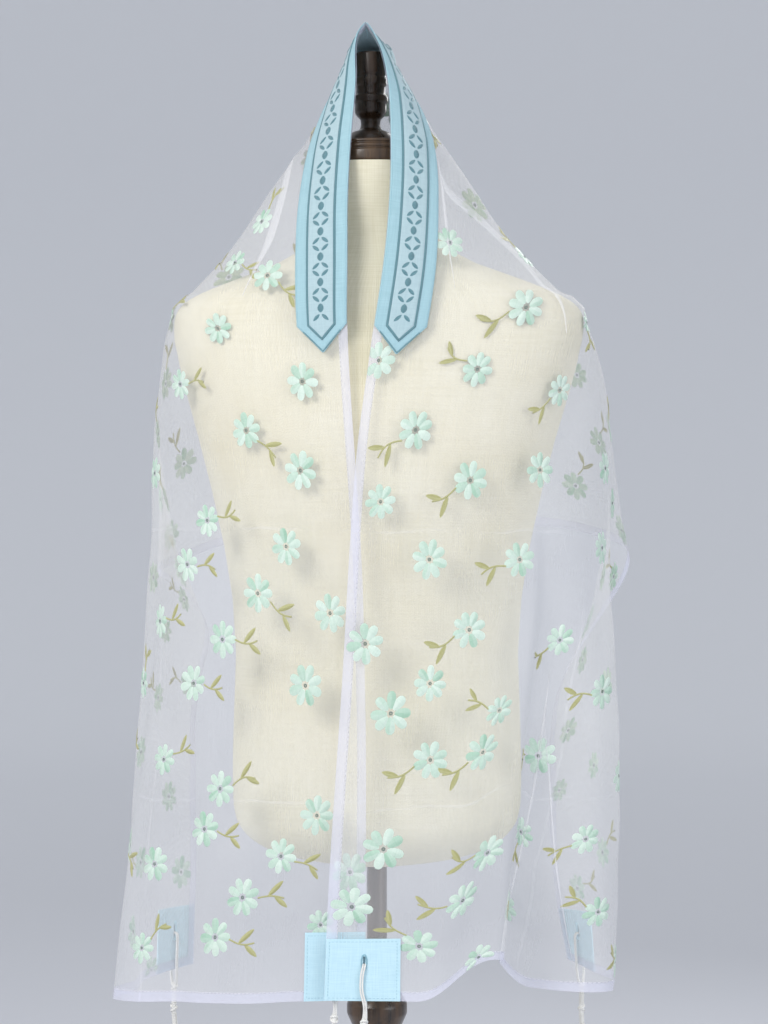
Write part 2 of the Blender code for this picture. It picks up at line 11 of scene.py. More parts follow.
import bpy
import numpy as np
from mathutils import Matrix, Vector


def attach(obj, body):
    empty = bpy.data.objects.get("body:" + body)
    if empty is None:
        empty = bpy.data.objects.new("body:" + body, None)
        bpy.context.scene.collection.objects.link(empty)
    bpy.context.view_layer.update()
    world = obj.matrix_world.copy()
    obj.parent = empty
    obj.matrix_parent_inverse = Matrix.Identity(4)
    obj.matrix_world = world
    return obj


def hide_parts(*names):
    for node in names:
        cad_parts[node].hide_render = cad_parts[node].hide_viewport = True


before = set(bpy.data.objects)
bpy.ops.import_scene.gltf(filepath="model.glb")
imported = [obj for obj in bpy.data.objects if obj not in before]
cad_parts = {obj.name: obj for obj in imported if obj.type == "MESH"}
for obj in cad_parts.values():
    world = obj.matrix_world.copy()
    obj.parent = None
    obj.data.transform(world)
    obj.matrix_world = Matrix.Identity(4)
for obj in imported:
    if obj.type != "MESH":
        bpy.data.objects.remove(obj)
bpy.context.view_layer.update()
MM = 0.001
rng = np.random.default_rng(18)

# %% [markdown]
# ## Sizes
# The same sizes as the CAD model, in millimetres: the cut of the cloth, its neckband, patches and
# buttonholes.

# %% Sizes
APEX_HEIGHT = 1560.0
CLOTH_LENGTH, CLOTH_DEPTH = 1830.0, 500.0
HALF = CLOTH_LENGTH / 2
WALL, SEAM_GAP, REST_GAP = 1.2, 0.3, 1.6
BAND_WIDTH, BAND_SHOULDER, BAND_POINT = 54.0, 302.0, 27.0
PATCH, HOLE_IN, HOLE_UP = 64.0, 33.0, 40.0
HEM = 10.0
SHOULDER = (260.0, 200.0)
NECK_SHIFT, FINIAL_SHIFT = -3.0, -6.0

# %% [markdown]
# ## Camera and light
# The camera stands level, 2.25 m in front of the form, with the photograph's upright frame. The
# sky is a pale cool grey. A warm key light from the left shapes the folds, a cooler one fills
# them from the right, and one behind gives the sheer cloth its bright edges. The Standard view
# keeps white cloth white.

# %% Camera and studio
CAMERA_PLACE, LENS, SENSOR = (0.0065, -2.25, 1.1104), 85.05, 36.0
SKY, SKY_STRENGTH = (0.80, 0.82, 0.86, 1.0), 0.82
# name, place, height it points at, size across in metres, power in watts, colour
LIGHTS = (("key", (-1.9, -2.6, 2.7), 1.1, 1.6, 74, (1.0, 0.985, 0.96)),
          ("fill", (2.4, -2.0, 1.5), 1.1, 2.4, 28, (0.95, 0.97, 1.0)),
          ("rim", (1.2, 2.6, 2.4), 1.2, 1.4, 26, (1.0, 1.0, 1.0)))

scene = bpy.context.scene
camera = bpy.data.objects.new("camera", bpy.data.cameras.new("camera"))
scene.collection.objects.link(camera)
camera.data.lens = LENS
camera.data.sensor_width = SENSOR
camera.data.dof.use_dof = False
camera.location = CAMERA_PLACE
camera.rotation_euler = (math.pi / 2, 0.0, 0.0)
scene.camera = camera

world = bpy.data.worlds.new("studio")
world.use_nodes = True
sky = world.node_tree.nodes["Background"]
sky.inputs["Color"].default_value = SKY
sky.inputs["Strength"].default_value = SKY_STRENGTH
scene.world = world
scene.view_settings.view_transform = "Standard"

for name, place, height, size, power, colour in LIGHTS:
    light = bpy.data.lights.new(name, "AREA")
    light.shape, light.size, light.energy, light.color = "DISK", size, power, colour
    lamp = bpy.data.objects.new(name, light)
    lamp.location = place
    aim = Vector((0, 0, height)) - lamp.location
    lamp.rotation_euler = aim.to_track_quat("-Z", "Y").to_euler()
    scene.collection.objects.link(lamp)
print("camera, sky and lights:", [row[0] for row in LIGHTS])

# %% [markdown]
# ## Colours and materials
# Every colour is written as it looks on screen and turned into linear light here. One small
# function adds a node, with its settings and its links, and returns the output that is wanted.

# %% Material helpers
def linear(hex_colour):
    parts = [int(hex_colour[i:i + 2], 16) / 255 for i in (0, 2, 4)]
    return tuple(c / 12.92 if c <= 0.04045 else ((c + 0.055) / 1.055) ** 2.4
                 for c in parts) + (1.0,)


def connect(tree, node, inputs):
    """Links a node's inputs to outputs, and sets those that are given as plain values."""
    for name, value in inputs.items() if isinstance(inputs, dict) else enumerate(inputs):
        if isinstance(value, bpy.types.NodeSocket):
            tree.links.new(value, node.inputs[name])
        else:
            node.inputs[name].default_value = value


def add(tree, kind, inputs=(), out=0, **settings):
    """Adds a node. Its inputs are a dictionary, or a list in the order of its sockets."""
    made = tree.nodes.new("ShaderNode" + kind)
    for name, value in settings.items():
        setattr(made, name, value)
    connect(tree, made, inputs)
    return made.outputs[out]


def new_material(name, solid=False):
    """A material, its node tree, its shader, and the place its pattern is worked out from: the
    piece's own layout, or for a solid material its place in space. Both are in metres."""
    material = bpy.data.materials.new(name)
    material.use_nodes = True
    tree = material.node_tree
    place = add(tree, "TexCoord", out="Object") if solid else add(tree, "UVMap", uv_map="cut")
    return material, tree, tree.nodes["Principled BSDF"], place


# the output and the kind of a mix of colours, and the fine detail in a thread's bands
COLOUR = {"out": 2, "data_type": "RGBA"}
WOBBLE = {"Detail": 2.0, "Detail Scale": 1.4}
print("a mid grey, 808080, is", round(linear("808080")[0], 3), "in linear light")

# %% [markdown]
# Every pattern starts from a size in millimetres. Threads are drawn as the bands of a wave
# texture, and slubs, patches and grain as noise stretched to their size. A finish is then named
# with its light and dark tones and, for cloth and thread, its spacing in mm.

# %% Patterns by size
def spacing(pitch):
    """The scale at which a wave texture's bands lie a pitch apart, in mm."""
    return math.pi / 10 / (pitch * MM)


def uneven(tree, place, sizes, detail=3.0, roughness=0.55):
    """Uneven patches, about these sizes in mm along each axis."""
    place = add(tree, "Mapping", {"Vector": place, "Scale": [1 / (size * MM) for size in sizes]})
    return add(tree, "TexNoise", {"Vector": place, "Scale": 1.0, "Detail": detail,
                                  "Roughness": roughness}, "Fac")


def weave(tree, place, pitch, wander):
    """Warp and weft, as two heights. Their threads lie a pitch apart and wander a little."""
    bands = {"Vector": place, "Scale": spacing(pitch), "Distortion": wander}
    return [add(tree, "TexWave", {**bands, **WOBBLE}, "Fac", bands_direction=way) for way in "XY"]


def slubbed(tree, place, length, width, detail, roughness):
    """Thicker and thinner threads, the mean of those in the warp and those in the weft."""
    warp = uneven(tree, place, (length, width, width), detail, roughness)
    weft = uneven(tree, place, (width, length, width), detail, roughness)
    both = add(tree, "Math", (warp, weft), operation="ADD")
    return add(tree, "Math", (both, 0.5), operation="MULTIPLY")


print("threads 1 mm apart need a wave scale of", round(spacing(1.0)))

# %% [markdown]
# Organza is a plain weave of very fine threads, so most of it is air. A glassy shader could stand
# for it, but light passes between the threads and not through them, so a low alpha fits better.
# Its threads lie about 0.25 mm apart, too fine to show, so they are drawn 0.75 mm apart as a soft
# grid. Thicker threads show as faint slubs, and the turned hem is denser. Pale lines are painted
# into the alpha where folds turn edge-on and look brighter, as painted highlights: across it twice
# in each half, and once along it.

# %% Sheer cloth
def sheer_cloth():
    material, tree, shader, place = new_material("white organza")
    along = add(tree, "Math", (add(tree, "SeparateXYZ", (place,), "X"),), operation="ABSOLUTE")
    across = add(tree, "SeparateXYZ", (place,), "Y")
    threads = add(tree, "Math", weave(tree, place, 0.748, 1.2), operation="MAXIMUM")
    slubs = uneven(tree, place, (37.04, 2.0833, 333), 4.0, 0.6)
    drift = uneven(tree, place, (111.11, 111.11, 111.11), 4.0)
    patchy = add(tree, "MapRange", (uneven(tree, place, (71.43, 71.43, 71.43)), 0.42, 0.6))
    # the distance from the nearest edge of the cut says where the hem is
    from_end = add(tree, "Math", (HALF * MM, along), operation="SUBTRACT")
    from_rear = add(tree, "Math", (CLOTH_DEPTH * MM, across), operation="SUBTRACT")
    from_side = add(tree, "Math", (across, from_rear), operation="MINIMUM")
    edge = add(tree, "Math", (from_end, from_side), operation="MINIMUM")
    hem = add(tree, "MapRange", (edge, (HEM + 0.2) * MM, (HEM - 0.4) * MM, 0.0, 1.0))
    # what each of these adds to the share of light that the cloth stops
    alpha = add(tree, "MapRange", (threads, 0.2, 0.9, 0.17, 0.27))
    for cause, *levels in ((slubs, 0.35, 0.8, -0.006, 0.014), (drift, 0.3, 0.75, -0.03, 0.05),
                           (hem, 0.0, 1.0, 0.0, 0.10)):
        more = add(tree, "MapRange", (cause, *levels))
        alpha = add(tree, "Math", (alpha, more), operation="ADD")
    # painted highlight: pale lines in the alpha where folds turn edge-on
    for reach, at in ((along, 0.729), (along, 0.486), (across, 0.252)):
        bent = add(tree, "MapRange", (drift, 0.3, 0.7, -0.004 - at, 0.004 - at))
        off = add(tree, "Math", (reach, bent), operation="ADD")
        off = add(tree, "Math", (off,), operation="ABSOLUTE")
        line = add(tree, "MapRange", (off, 0.0018, 0.0004, 0.0, 0.09))
        alpha = add(tree, "Math", (line, patchy, alpha), operation="MULTIPLY_ADD")
    colour = add(tree, "Mix", {0: drift, 6: linear("F1F2F6"), 7: linear("FCFCFE")}, **COLOUR)
    colour = add(tree, "Mix", {0: hem, 6: colour, 7: linear("EAEBFA")}, **COLOUR)
    relief = add(tree, "Bump", {"Height": threads, "Strength": 0.25, "Distance": 0.0004})
    connect(tree, shader, {"Base Color": colour, "Alpha": alpha, "Roughness": 0.5, "IOR": 1.3,
                           "Normal": relief, "Sheen Weight": 0.25, "Sheen Roughness": 0.35})
    return material


organza = sheer_cloth()
print("cloth:", organza.name)

# %% [markdown]
# The neckband and the patches are plain-woven cotton, matt and opaque. Modelled threads would
# take millions of faces, and a pattern with relief looks the same from here. The real threads lie
# about 0.3 mm apart. They are drawn 0.4 to 0.6 mm apart, the coarsest on the patches.

# %% Cotton
def woven(name, light, dark, pitch, relief, slub, sheen, spots=None):
    """A plain weave between two colours. slub is the share of that which slubs make."""
    material, tree, shader, place = new_material(name)
    warp, weft = weave(tree, place, pitch, 1.0)
    diagonal = {"Vector": place, "Scale": spacing(2 * pitch), "Distortion": 0.6, **WOBBLE}
    over = add(tree, "TexWave", diagonal, "Fac", bands_direction="DIAGONAL")
    threads = add(tree, "Math", (warp, weft), operation="ADD")
    threads = add(tree, "Math", (threads, 0.5), operation="MULTIPLY")
    slubs = slubbed(tree, place, 23.81, 1.2821, 3.0, 0.6)
    slubs = add(tree, "MapRange", (slubs, 0.38, 0.62, 0.0, slub))
    shade = add(tree, "Math", (threads, 1 - slub, slubs), operation="MULTIPLY_ADD")
    colour = add(tree, "Mix", {0: shade, 6: linear(dark), 7: linear(light)}, **COLOUR)
    if spots:
        patchy = uneven(tree, place, (62.5, 62.5, 62.5))
        patchy = add(tree, "MapRange", (patchy, 0.4, 0.75, 0.0, 0.6))
        colour = add(tree, "Mix", {0: patchy, 6: colour, 7: linear(spots)}, **COLOUR)
    height = add(tree, "Math", (over, 0.3, threads), operation="MULTIPLY_ADD")
    relief = add(tree, "Bump", {"Height": height, "Strength": 0.5, "Distance": relief})
    connect(tree, shader, {"Base Color": colour, "Roughness": 0.85, "Normal": relief,
                           "Sheen Weight": sheen})
    return material


blue_cotton = woven("blue cotton", "B2D5DE", "97BFCA", 0.5067, 0.0003, 0.6, 0.2, "A6CBD5")
pale_cotton = woven("pale blue cotton", "BBD3D9", "A6C1C9", 0.41337, 0.0002, 0.5, 0.2)
patch_cotton = woven("patch cotton", "D2F1FB", "BADFEE", 0.60415, 0.0003, 0.65, 0.15, "C6E9F6")
print("cottons:", blue_cotton.name, pale_cotton.name, patch_cotton.name)

# %% [markdown]
# Embroidery is rayon thread laid side by side, so it's glossier along the stitches than the
# cotton round it. Each petal carries its own tone, which the shader mixes between two greens:
# this is painted sheen, which makes some petals and petal halves look lit and others shaded.
# The thread is also painted darker between its stitches, as painted shade in the grooves.
# Real stitches lie about 0.2 mm apart. The petals' are drawn 0.6 mm apart, so that they show.

# %% Embroidery thread
def satin(name, light, dark, pitch, way="X", edge=None):
    """Stitched thread. In its layout, x runs along a shape and y across it, both in metres."""
    material, tree, shader, place = new_material(name)
    bands = {"Vector": place, "Scale": spacing(pitch), "Distortion": 0.8, **WOBBLE}
    threads = add(tree, "TexWave", bands, "Fac", bands_direction=way)
    # painted sheen: each shape's tone, with streaks along the stitches, sets how lit it looks
    tone_and_sheen = add(tree, "Attribute", out="Fac", attribute_name="tone_and_sheen")
    streak = uneven(tree, place, (1.1111, 8.3333, 1000), 2.0)
    streak = add(tree, "MapRange", (streak, 0.3, 0.7, 0.0, 0.25))
    mixed = add(tree, "Math", (tone_and_sheen, 0.75, streak), operation="MULTIPLY_ADD")
    # painted shade: the gaps between the threads are mixed towards the darker edge colour
    between = add(tree, "MapRange", (threads, 0.0, 0.45, 0.35, 0.0))
    colour = add(tree, "Mix", {0: mixed, 6: linear(dark), 7: linear(light)}, **COLOUR)
    colour = add(tree, "Mix", {0: between, 6: colour, 7: linear(edge or dark)}, **COLOUR)
    relief = add(tree, "Bump", {"Height": threads, "Strength": 0.6, "Distance": 0.0003})
    connect(tree, shader, {"Base Color": colour, "Roughness": 0.38, "Normal": relief,
                           "Sheen Weight": 0.2})
    return material


# light and dark: the thread lit and shaded; the last colour is painted shade between stitches
petal_thread = satin("mint thread", "ECF8EF", "9CC8AE", 0.561, "DIAGONAL", "7FAE93")
leaf_thread = satin("olive thread", "D3D29E", "A6A468", 0.349, "DIAGONAL", "86834A")
ring_thread = satin("grey thread", "A3B3AC", "6C7B75", 0.349, "X", "4B5651")
line_thread = satin("slate blue thread", "82ADB7", "5B8B97", 0.2094, "X", "44727D")
blue_sewing = satin("blue sewing thread", "A3D2E2", "82B9CB", 0.2094)
white_sewing = satin("white sewing thread", "FFFFFF", "E4E4EA", 0.2094)
print("threads:", [one.name for one in (petal_thread, leaf_thread, ring_thread, line_thread)])

# %% [markdown]
# The tassels are twisted cotton cord: plies about 1 mm apart that run round it, under a fine
# fuzz. Bands at a slant in the cord's layout wind round it as plies do.

# %% Cord
def twisted_cord():
    material, tree, shader, place = new_material("white cotton cord")
    bands = {"Vector": place, "Scale": spacing(0.952), "Distortion": 0.5, **WOBBLE}
    plies = add(tree, "TexWave", bands, "Fac", bands_direction="DIAGONAL")
    fuzz = uneven(tree, place, (1.1111, 1.1111, 1.1111))
    shade = add(tree, "MapRange", (plies, 0.1, 0.8))
    colour = add(tree, "Mix", {0: shade, 6: linear("DDDCD8"), 7: linear("FBFAF6")}, **COLOUR)
    height = add(tree, "Math", (fuzz, 0.4, plies), operation="MULTIPLY_ADD")
    relief = add(tree, "Bump", {"Height": height, "Strength": 0.6, "Distance": 0.0003})
    connect(tree, shader, {"Base Color": colour, "Roughness": 0.8, "Normal": relief,
                           "Sheen Weight": 0.3})
    return material


cord_white = twisted_cord()
print("cord:", cord_white.name)

# %% [markdown]
# The form's cover is unbleached linen, with threads about 0.5 mm apart drawn twice as coarse.
# Linen is known by its slubs, and this one has yellowed a little in patches.

# %% Linen
def linen():
    material, tree, shader, place = new_material("cream linen")
    warp, weft = weave(tree, place, 1.0472, 1.4)
    threads = add(tree, "Math", (warp, weft), operation="ADD")
    threads = add(tree, "Math", (threads, 0.5), operation="MULTIPLY")
    slubs = slubbed(tree, place, 55.556, 1.3889, 4.0, 0.62)
    shade = add(tree, "MapRange", (slubs, 0.38, 0.62))
    colour = add(tree, "Mix", {0: shade, 6: linear("E1DBC1"), 7: linear("EEE9D4")}, **COLOUR)
    aged = uneven(tree, add(tree, "TexCoord", out="Object"), (200, 200, 200), 4.0)
    aged = add(tree, "MapRange", (aged, 0.45, 0.8, 0.0, 0.5))
    colour = add(tree, "Mix", {0: aged, 6: colour, 7: linear("D8CB9D")}, **COLOUR)
    height = add(tree, "Math", (slubs, 1.2, threads), operation="MULTIPLY_ADD")
    relief = add(tree, "Bump", {"Height": height, "Strength": 0.45, "Distance": 0.0005})
    connect(tree, shader, {"Base Color": colour, "Roughness": 0.9, "Normal": relief,
                           "Sheen Weight": 0.1})
    return material


cream_linen = linen()
print("linen:", cream_linen.name)

# %% [markdown]
# The stand is turned walnut under a thin polish: grain a few millimetres wide and dark pores along
# it. Its sharp arrises are painted paler, a painted highlight on the rings. The base is a board,
# so its grain lies level.

# %% Walnut
GRAIN_UP, GRAIN_LEVEL = (7.576, 7.576, 90.91), (90.91, 7.576, 7.576)


def walnut(name, dark, light, gloss, sizes=GRAIN_UP):
    """Polished wood. sizes gives the grain in mm along each axis."""
    material, tree, shader, place = new_material(name, solid=True)
    grain = uneven(tree, place, sizes, 6.0, 0.62)
    pores = uneven(tree, place, [size / 6.3636 for size in sizes], 2.0, 0.5)
    level = add(tree, "Mapping", {"Vector": place, "Scale": (1, 1, 0.12)})
    bands = {"Vector": level, "Scale": spacing(12.083), "Distortion": 5.0, **WOBBLE}
    rings = add(tree, "TexWave", bands, "Fac", bands_direction="X")
    rings = add(tree, "Math", (rings, 0.3), operation="MULTIPLY")
    shade = add(tree, "MapRange", (grain, 0.36, 0.66))
    shade = add(tree, "Math", (shade, 0.7, rings), operation="MULTIPLY_ADD")
    colour = add(tree, "Mix", {0: shade, 6: linear(dark), 7: linear(light)}, **COLOUR)
    deep = add(tree, "MapRange", (pores, 0.58, 0.72, 0.0, 0.6))
    colour = add(tree, "Mix", {0: deep, 6: colour, 7: linear("140C08")}, **COLOUR)
    # painted highlight: sharp convex edges, such as the turned rings, lean to the light colour
    painted_arris_highlight = add(tree, "NewGeometry", out="Pointiness")
    painted_arris_highlight = add(tree, "MapRange", (painted_arris_highlight, 0.53, 0.6, 0.0, 0.55))
    colour = add(tree, "Mix", {0: painted_arris_highlight, 6: colour, 7: linear(light)}, **COLOUR)
    rough = add(tree, "MapRange", (grain, 0.3, 0.7, gloss, gloss + 0.2))
    height = add(tree, "Math", (grain, pores), operation="ADD")
    relief = add(tree, "Bump", {"Height": height, "Strength": 0.2, "Distance": 0.0004})
    connect(tree, shader, {"Base Color": colour, "Roughness": rough, "Normal": relief,
                           "Coat Weight": 0.35, "Coat Roughness": 0.18})
    return material


dark_walnut = walnut("dark walnut", "1F150D", "523C28", 0.22)
base_walnut = walnut("dark walnut board", "1F150D", "4E3926", 0.3, GRAIN_LEVEL)
brown_walnut = walnut("brown walnut", "2C1E11", "553F27", 0.4)
print("woods:", dark_walnut.name, base_walnut.name, brown_walnut.name)

# %% [markdown]
# ## The draped surface
# The same sections and folds that shape the CAD cloth. Each section is a cut through one half of
# the cloth: where its front edge, its shoulder ridge and its rear edge hang, as right, back and
# drop from the top.

# %% Sections and folds
Section = namedtuple("Section", "along front side rear front_full rear_full")

LEFT_HALF = (
    Section(0, (-10.5, -30, 0), (-6.5, 16.5, 21.2), (0, 122, 448), 0.0, 0.75),
    Section(8, (-13.5, -31, 5), (-15, 12, 21.4), (-8, 122, 449), 0.0, 0.75),
    Section(15, (-16.5, -32, 10), (-22.5, 6, 22.5), (-15, 123, 449.5), 0.0, 0.75),
    Section(24, (-18.2, -33, 18), (-28, 4, 34), (-23, 124, 450.5), 0.1, 0.75),
    Section(60, (-18.5, -43, 55), (-52, 4, 79), (-56, 128, 455), 0.35, 0.75),
    Section(120, (-23, -58, 112), (-88, 3, 132), (-104, 132, 464), 0.42, 0.7),
    Section(195, (-26, -78, 183), (-145, 1, 209), (-156, 124, 490), 0.45, 0.7),
    Section(245, (-25.5, -92, 230), (-188, -2, 252), (-198, 88, 500), 0.5, 0.6),
    Section(290, (-26.5, -104, 271), (-200, -7, 286), (-213, 58, 508), 0.55, 0.35),
    Section(325, (-25.5, -109, 304), (-202, -9, 318), (-206, 56, 512), 0.6, 0.35),
    Section(365, (-23, -113, 344), (-206, -11, 354), (-193, 68, 520), 0.65, 0.4),
    Section(410, (-20, -118, 389), (-209, -12, 396), (-177, 79, 535), 0.65, 0.4),
    Section(450, (-17, -120, 429), (-210, -13, 433), (-165, 87, 553), 0.7, 0.4),
    Section(490, (-14.5, -121.5, 469), (-211, -14, 470), (-162, 92, 573), 0.8, 0.4),
    Section(535, (-12, -123, 514), (-212, -16, 512), (-167, 96, 593), 0.85, 0.45),
    Section(590, (-11, -124, 568), (-216, -18, 570), (-173, 98, 619), 0.88, 0.5),
    Section(660, (-9.5, -125, 638), (-222, -22, 640), (-176, 98, 663), 0.9, 0.45),
    Section(800, (-9.5, -128, 770), (-236, -30, 775), (-176, 99, 785), 0.92, 0.35),
    Section(915, (-9.5, -129, 877), (-244, -38, 893), (-178, 98, 888), 0.92, 0.3),
)

RIGHT_HALF = (
    Section(0, (-10.5, -30, 0), (-6.5, 16.5, 21.2), (0, 122, 448), 0.0, 0.75),
    Section(8, (-6.5, -31, 6), (2.5, 12, 21.4), (8, 122, 449), 0.0, 0.75),
    Section(15, (-3.5, -31.5, 12), (10, 6, 22.5), (15, 123, 449.5), 0.0, 0.75),
    Section(24, (0.5, -32.5, 20), (16, 4, 34), (22, 124, 450), 0.1, 0.75),
    Section(60, (8.5, -42, 53), (42, 4, 76), (56, 128, 453), 0.35, 0.75),
    Section(120, (12, -58, 112), (80, 3, 130), (106, 130, 457), 0.42, 0.7),
    Section(195, (10, -78, 183), (136, 1, 205), (166, 116, 465), 0.45, 0.7),
    Section(250, (5, -93, 235), (187, -2, 250), (213, 93, 474), 0.5, 0.6),
    Section(300, (-2.5, -105, 282), (206, -8, 288), (240, 74, 482), 0.55, 0.4),
    Section(350, (-9, -112, 331), (211, -11, 336), (242, 66, 499), 0.6, 0.35),
    Section(400, (-16, -119, 380), (214, -13, 386), (233, 67, 521), 0.67, 0.45),
    Section(445, (-20, -123, 425), (216, -15, 430), (215, 77, 550), 0.7, 0.55),
    Section(490, (-23, -126, 470), (217, -17, 473), (194, 89, 584), 0.8, 0.6),
    Section(540, (-26, -129, 520), (218, -20, 522), (176, 97, 618), 0.85, 0.6),
    Section(600, (-29, -131, 580), (219, -24, 581), (169, 99, 658), 0.88, 0.55),
    Section(660, (-33, -134, 640), (220, -28, 640), (168, 100, 694), 0.9, 0.45),
    Section(800, (-42, -137, 778), (219, -38, 775), (169, 98, 796), 0.92, 0.35),
    Section(915, (-46, -138, 876), (217, -45, 884), (184, 95, 883), 0.92, 0.3),
)

# Folds, which fan out from the tip of each shoulder. angle is a fold's direction in the flat
# cloth: 0 towards the short edge, 90 towards the rear edge. reach is how far it stands out at the
# cloth's edge, and below 0 it is a tuck. rise is how far it draws the hem up there. near and far
# are its half widths in degrees, towards the front edge and away from it. start is where it
# begins, from the shoulder's tip.
Fold = namedtuple("Fold", "angle reach near far start rise", defaults=(0,))

LEFT_FOLDS = (
    Fold(-7.0, 6, 4.0, 5.0, 160),
    Fold(1.0, -9, 4.0, 4.5, 160),
    Fold(13.5, -12, 5.0, 4.5, 160),
    Fold(104.0, 28, 9.5, 8.0, 60),
    Fold(121.0, 22, 7.0, 7.0, 90),
)
RIGHT_FOLDS = (
    Fold(-8.0, 6, 3.5, 3.5, 160),
    Fold(0.7, -74, 2.9, 10.5, 190),
    Fold(-2.6, 0, 7.0, 6.5, 200, 36),
    Fold(15.5, 8, 3.5, 4.0, 200),
    Fold(99.0, 18, 9.0, 8.0, 60),
    Fold(119.0, 20, 7.0, 7.0, 90),
)

# %% [markdown]
# The form under the cloth: its rings from the neck down, and the turned profiles. The form could
# be sculpted, but rings keep it the same as the CAD model and easy to measure.

# %% The form's sizes
Ring = namedtuple("Ring", "drop half_width half_depth right back")

TORSO = (
    Ring(129.7, 56, 55, NECK_SHIFT, 0),
    Ring(180, 57, 56, NECK_SHIFT, 0),
    Ring(197, 62, 59, -2, 1),
    Ring(209, 73, 64, -1, 2),
    Ring(220, 94, 69, 0, 3),
    Ring(231, 124, 75, 2, 4),
    Ring(243, 157, 80, 2, 5),
    Ring(252, 178, 84, 2, 5),
    Ring(261, 188, 87, 2, 5),
    Ring(273, 191, 90, 2, 4),
    Ring(295, 189, 95, 1, 2),
    Ring(320, 183, 100, 1, 0),
    Ring(383, 165, 107, 0, -1),
    Ring(430, 153, 108, 0, 0),
    Ring(480, 142, 103, 0, 1),
    Ring(530, 134, 97, 0, 2),
    Ring(580, 131, 96, 0, 3),
    Ring(673, 134, 101, 0, 4),
    Ring(717, 134, 102, 0, 4),
    Ring(738, 130, 99, 0, 4),
    Ring(754, 116, 89, 0, 4),
    Ring(766, 92, 72, 0, 3),
    Ring(773, 60, 48, 0, 2),
    Ring(777, 22, 20, 0, 0),
)
SQUARENESS = 2.3
# Turned profiles, top to bottom: radius, height above the foot of the piece.
NECK_CAP = ((49, 20.5), (52.4, 20), (53.4, 18), (51.6, 16.5), (53.8, 15), (53.8, 13), (52, 11.5),
            (54, 10), (54, 1.5), (53, 0))
FINIAL = ((13.5, 85.6), (14.8, 84.4), (14.8, 66), (13.8, 63.5), (15.2, 61.5), (15.2, 56),
          (13.6, 54), (13.6, 47), (16.2, 45), (16.2, 40), (14.6, 38), (14.8, 30), (12.5, 26.5),
          (9.2, 23.5), (9.0, 18), (10.5, 14), (17.5, 11.5), (21.5, 7), (24, 2.5), (24, 0))
POLE = ((9.3, 782.7), (9.3, 668), (12, 664), (24, 661), (28, 654), (28, 645), (24, 636),
        (18.5, 624), (16.5, 600), (18.5, 560), (18.5, 160), (23, 152), (24.5, 144), (23, 136),
        (19, 128), (19, 108), (27, 92), (27, 46.3))
BASE = ((40, 46), (60, 45), (88, 39), (122, 32), (160, 28), (178, 26), (184, 21), (186, 14),
        (186, 4), (182, 0))
NECK_CAP_FOOT = APEX_HEIGHT - TORSO[0].drop + SEAM_GAP
FINIAL_FOOT = NECK_CAP_FOOT + NECK_CAP[0][1] + SEAM_GAP

# %% [markdown]
# The cloth could be dropped on the form by a cloth simulation, but its folds have to lie where the
# photograph shows them. So the tables are turned into rows of points instead. Each row is a bent
# line over the shoulder, with its points spread evenly, as cloth doesn't stretch.

# %% Rows of points
def smooth_through(stations, values, at):
    """Points of a smooth curve through the stations, read at the places in at."""
    stations = np.asarray(stations, float)
    values = np.asarray(values, float)
    slope = np.gradient(values, stations, axis=0)
    low = np.clip(np.searchsorted(stations, at, side="right") - 1, 0, len(stations) - 2)
    span = (stations[low + 1] - stations[low])[:, None]
    t = (np.asarray(at)[:, None] - stations[low][:, None]) / span
    return ((2 * t ** 3 - 3 * t ** 2 + 1) * values[low]
            + (t ** 3 - 2 * t ** 2 + t) * span * slope[low]
            + (3 * t ** 2 - 2 * t ** 3) * values[low + 1]
            + (t ** 3 - t ** 2) * span * slope[low + 1])


def bend(start, end, corner, full, count):
    """Points from start to end, pulled from the straight line towards a corner."""
    middle = (start + end) / 2
    pull = middle + (corner - middle) * full
    t = np.linspace(0.0, 1.0, count)[:, None]
    return (1 - t) ** 2 * start + 2 * t * (1 - t) * pull + t ** 2 * end


def spread(line, shares):
    """Points along a line at shares of its length."""
    steps = np.linalg.norm(np.diff(line, axis=0), axis=1)
    length = np.concatenate(([0.0], np.cumsum(steps)))
    wanted = np.asarray(shares) * length[-1]
    return np.stack([np.interp(wanted, length, line[:, axis]) for axis in range(3)], axis=-1)


def plain_half(sections, along, count):
    """One half of the cloth before its folds: a row of points for each place along it."""
    stations = [section.along for section in sections]

    def column(name):
        places = np.array([getattr(section, name) for section in sections], float)
        places[:, 2] = APEX_HEIGHT - places[:, 2]
        return smooth_through(stations, places, along)

    front, side, rear = column("front"), column("side"), column("rear")
    front_full = np.interp(along, stations, [section.front_full for section in sections])
    rear_full = np.interp(along, stations, [section.rear_full for section in sections])
    rows = []
    for row in range(len(along)):
        ahead, over, behind = front[row], side[row], rear[row]
        front_corner = np.array((over[0], ahead[1], (ahead[2] + over[2]) / 2))
        rear_corner = np.array((over[0], behind[1], 0.75 * over[2] + 0.25 * behind[2]))
        line = np.concatenate((bend(ahead, over, front_corner, front_full[row], count),
                               bend(over, behind, rear_corner, rear_full[row], count)[1:]))
        line = spread(line, np.linspace(0.0, 1.0, count))
        for _ in range(count // 8):
            line[1:-1] = (line[:-2] + 2 * line[1:-1] + line[2:]) / 4
        rows.append(line)
    return np.array(rows)


def outward(grid):
    """Unit normals of a grid of points, on the side away from the dress form."""
    normals = np.cross(np.gradient(grid, axis=0), np.gradient(grid, axis=1))
    return normals / (np.linalg.norm(normals, axis=-1, keepdims=True) + 1e-12)


print("sections, left and right:", len(LEFT_HALF), len(RIGHT_HALF))

# %% [markdown]
# A fold is a smooth ridge that starts near the shoulder's tip and grows towards the cloth's edge,
# since that is the point from which the cloth hangs.

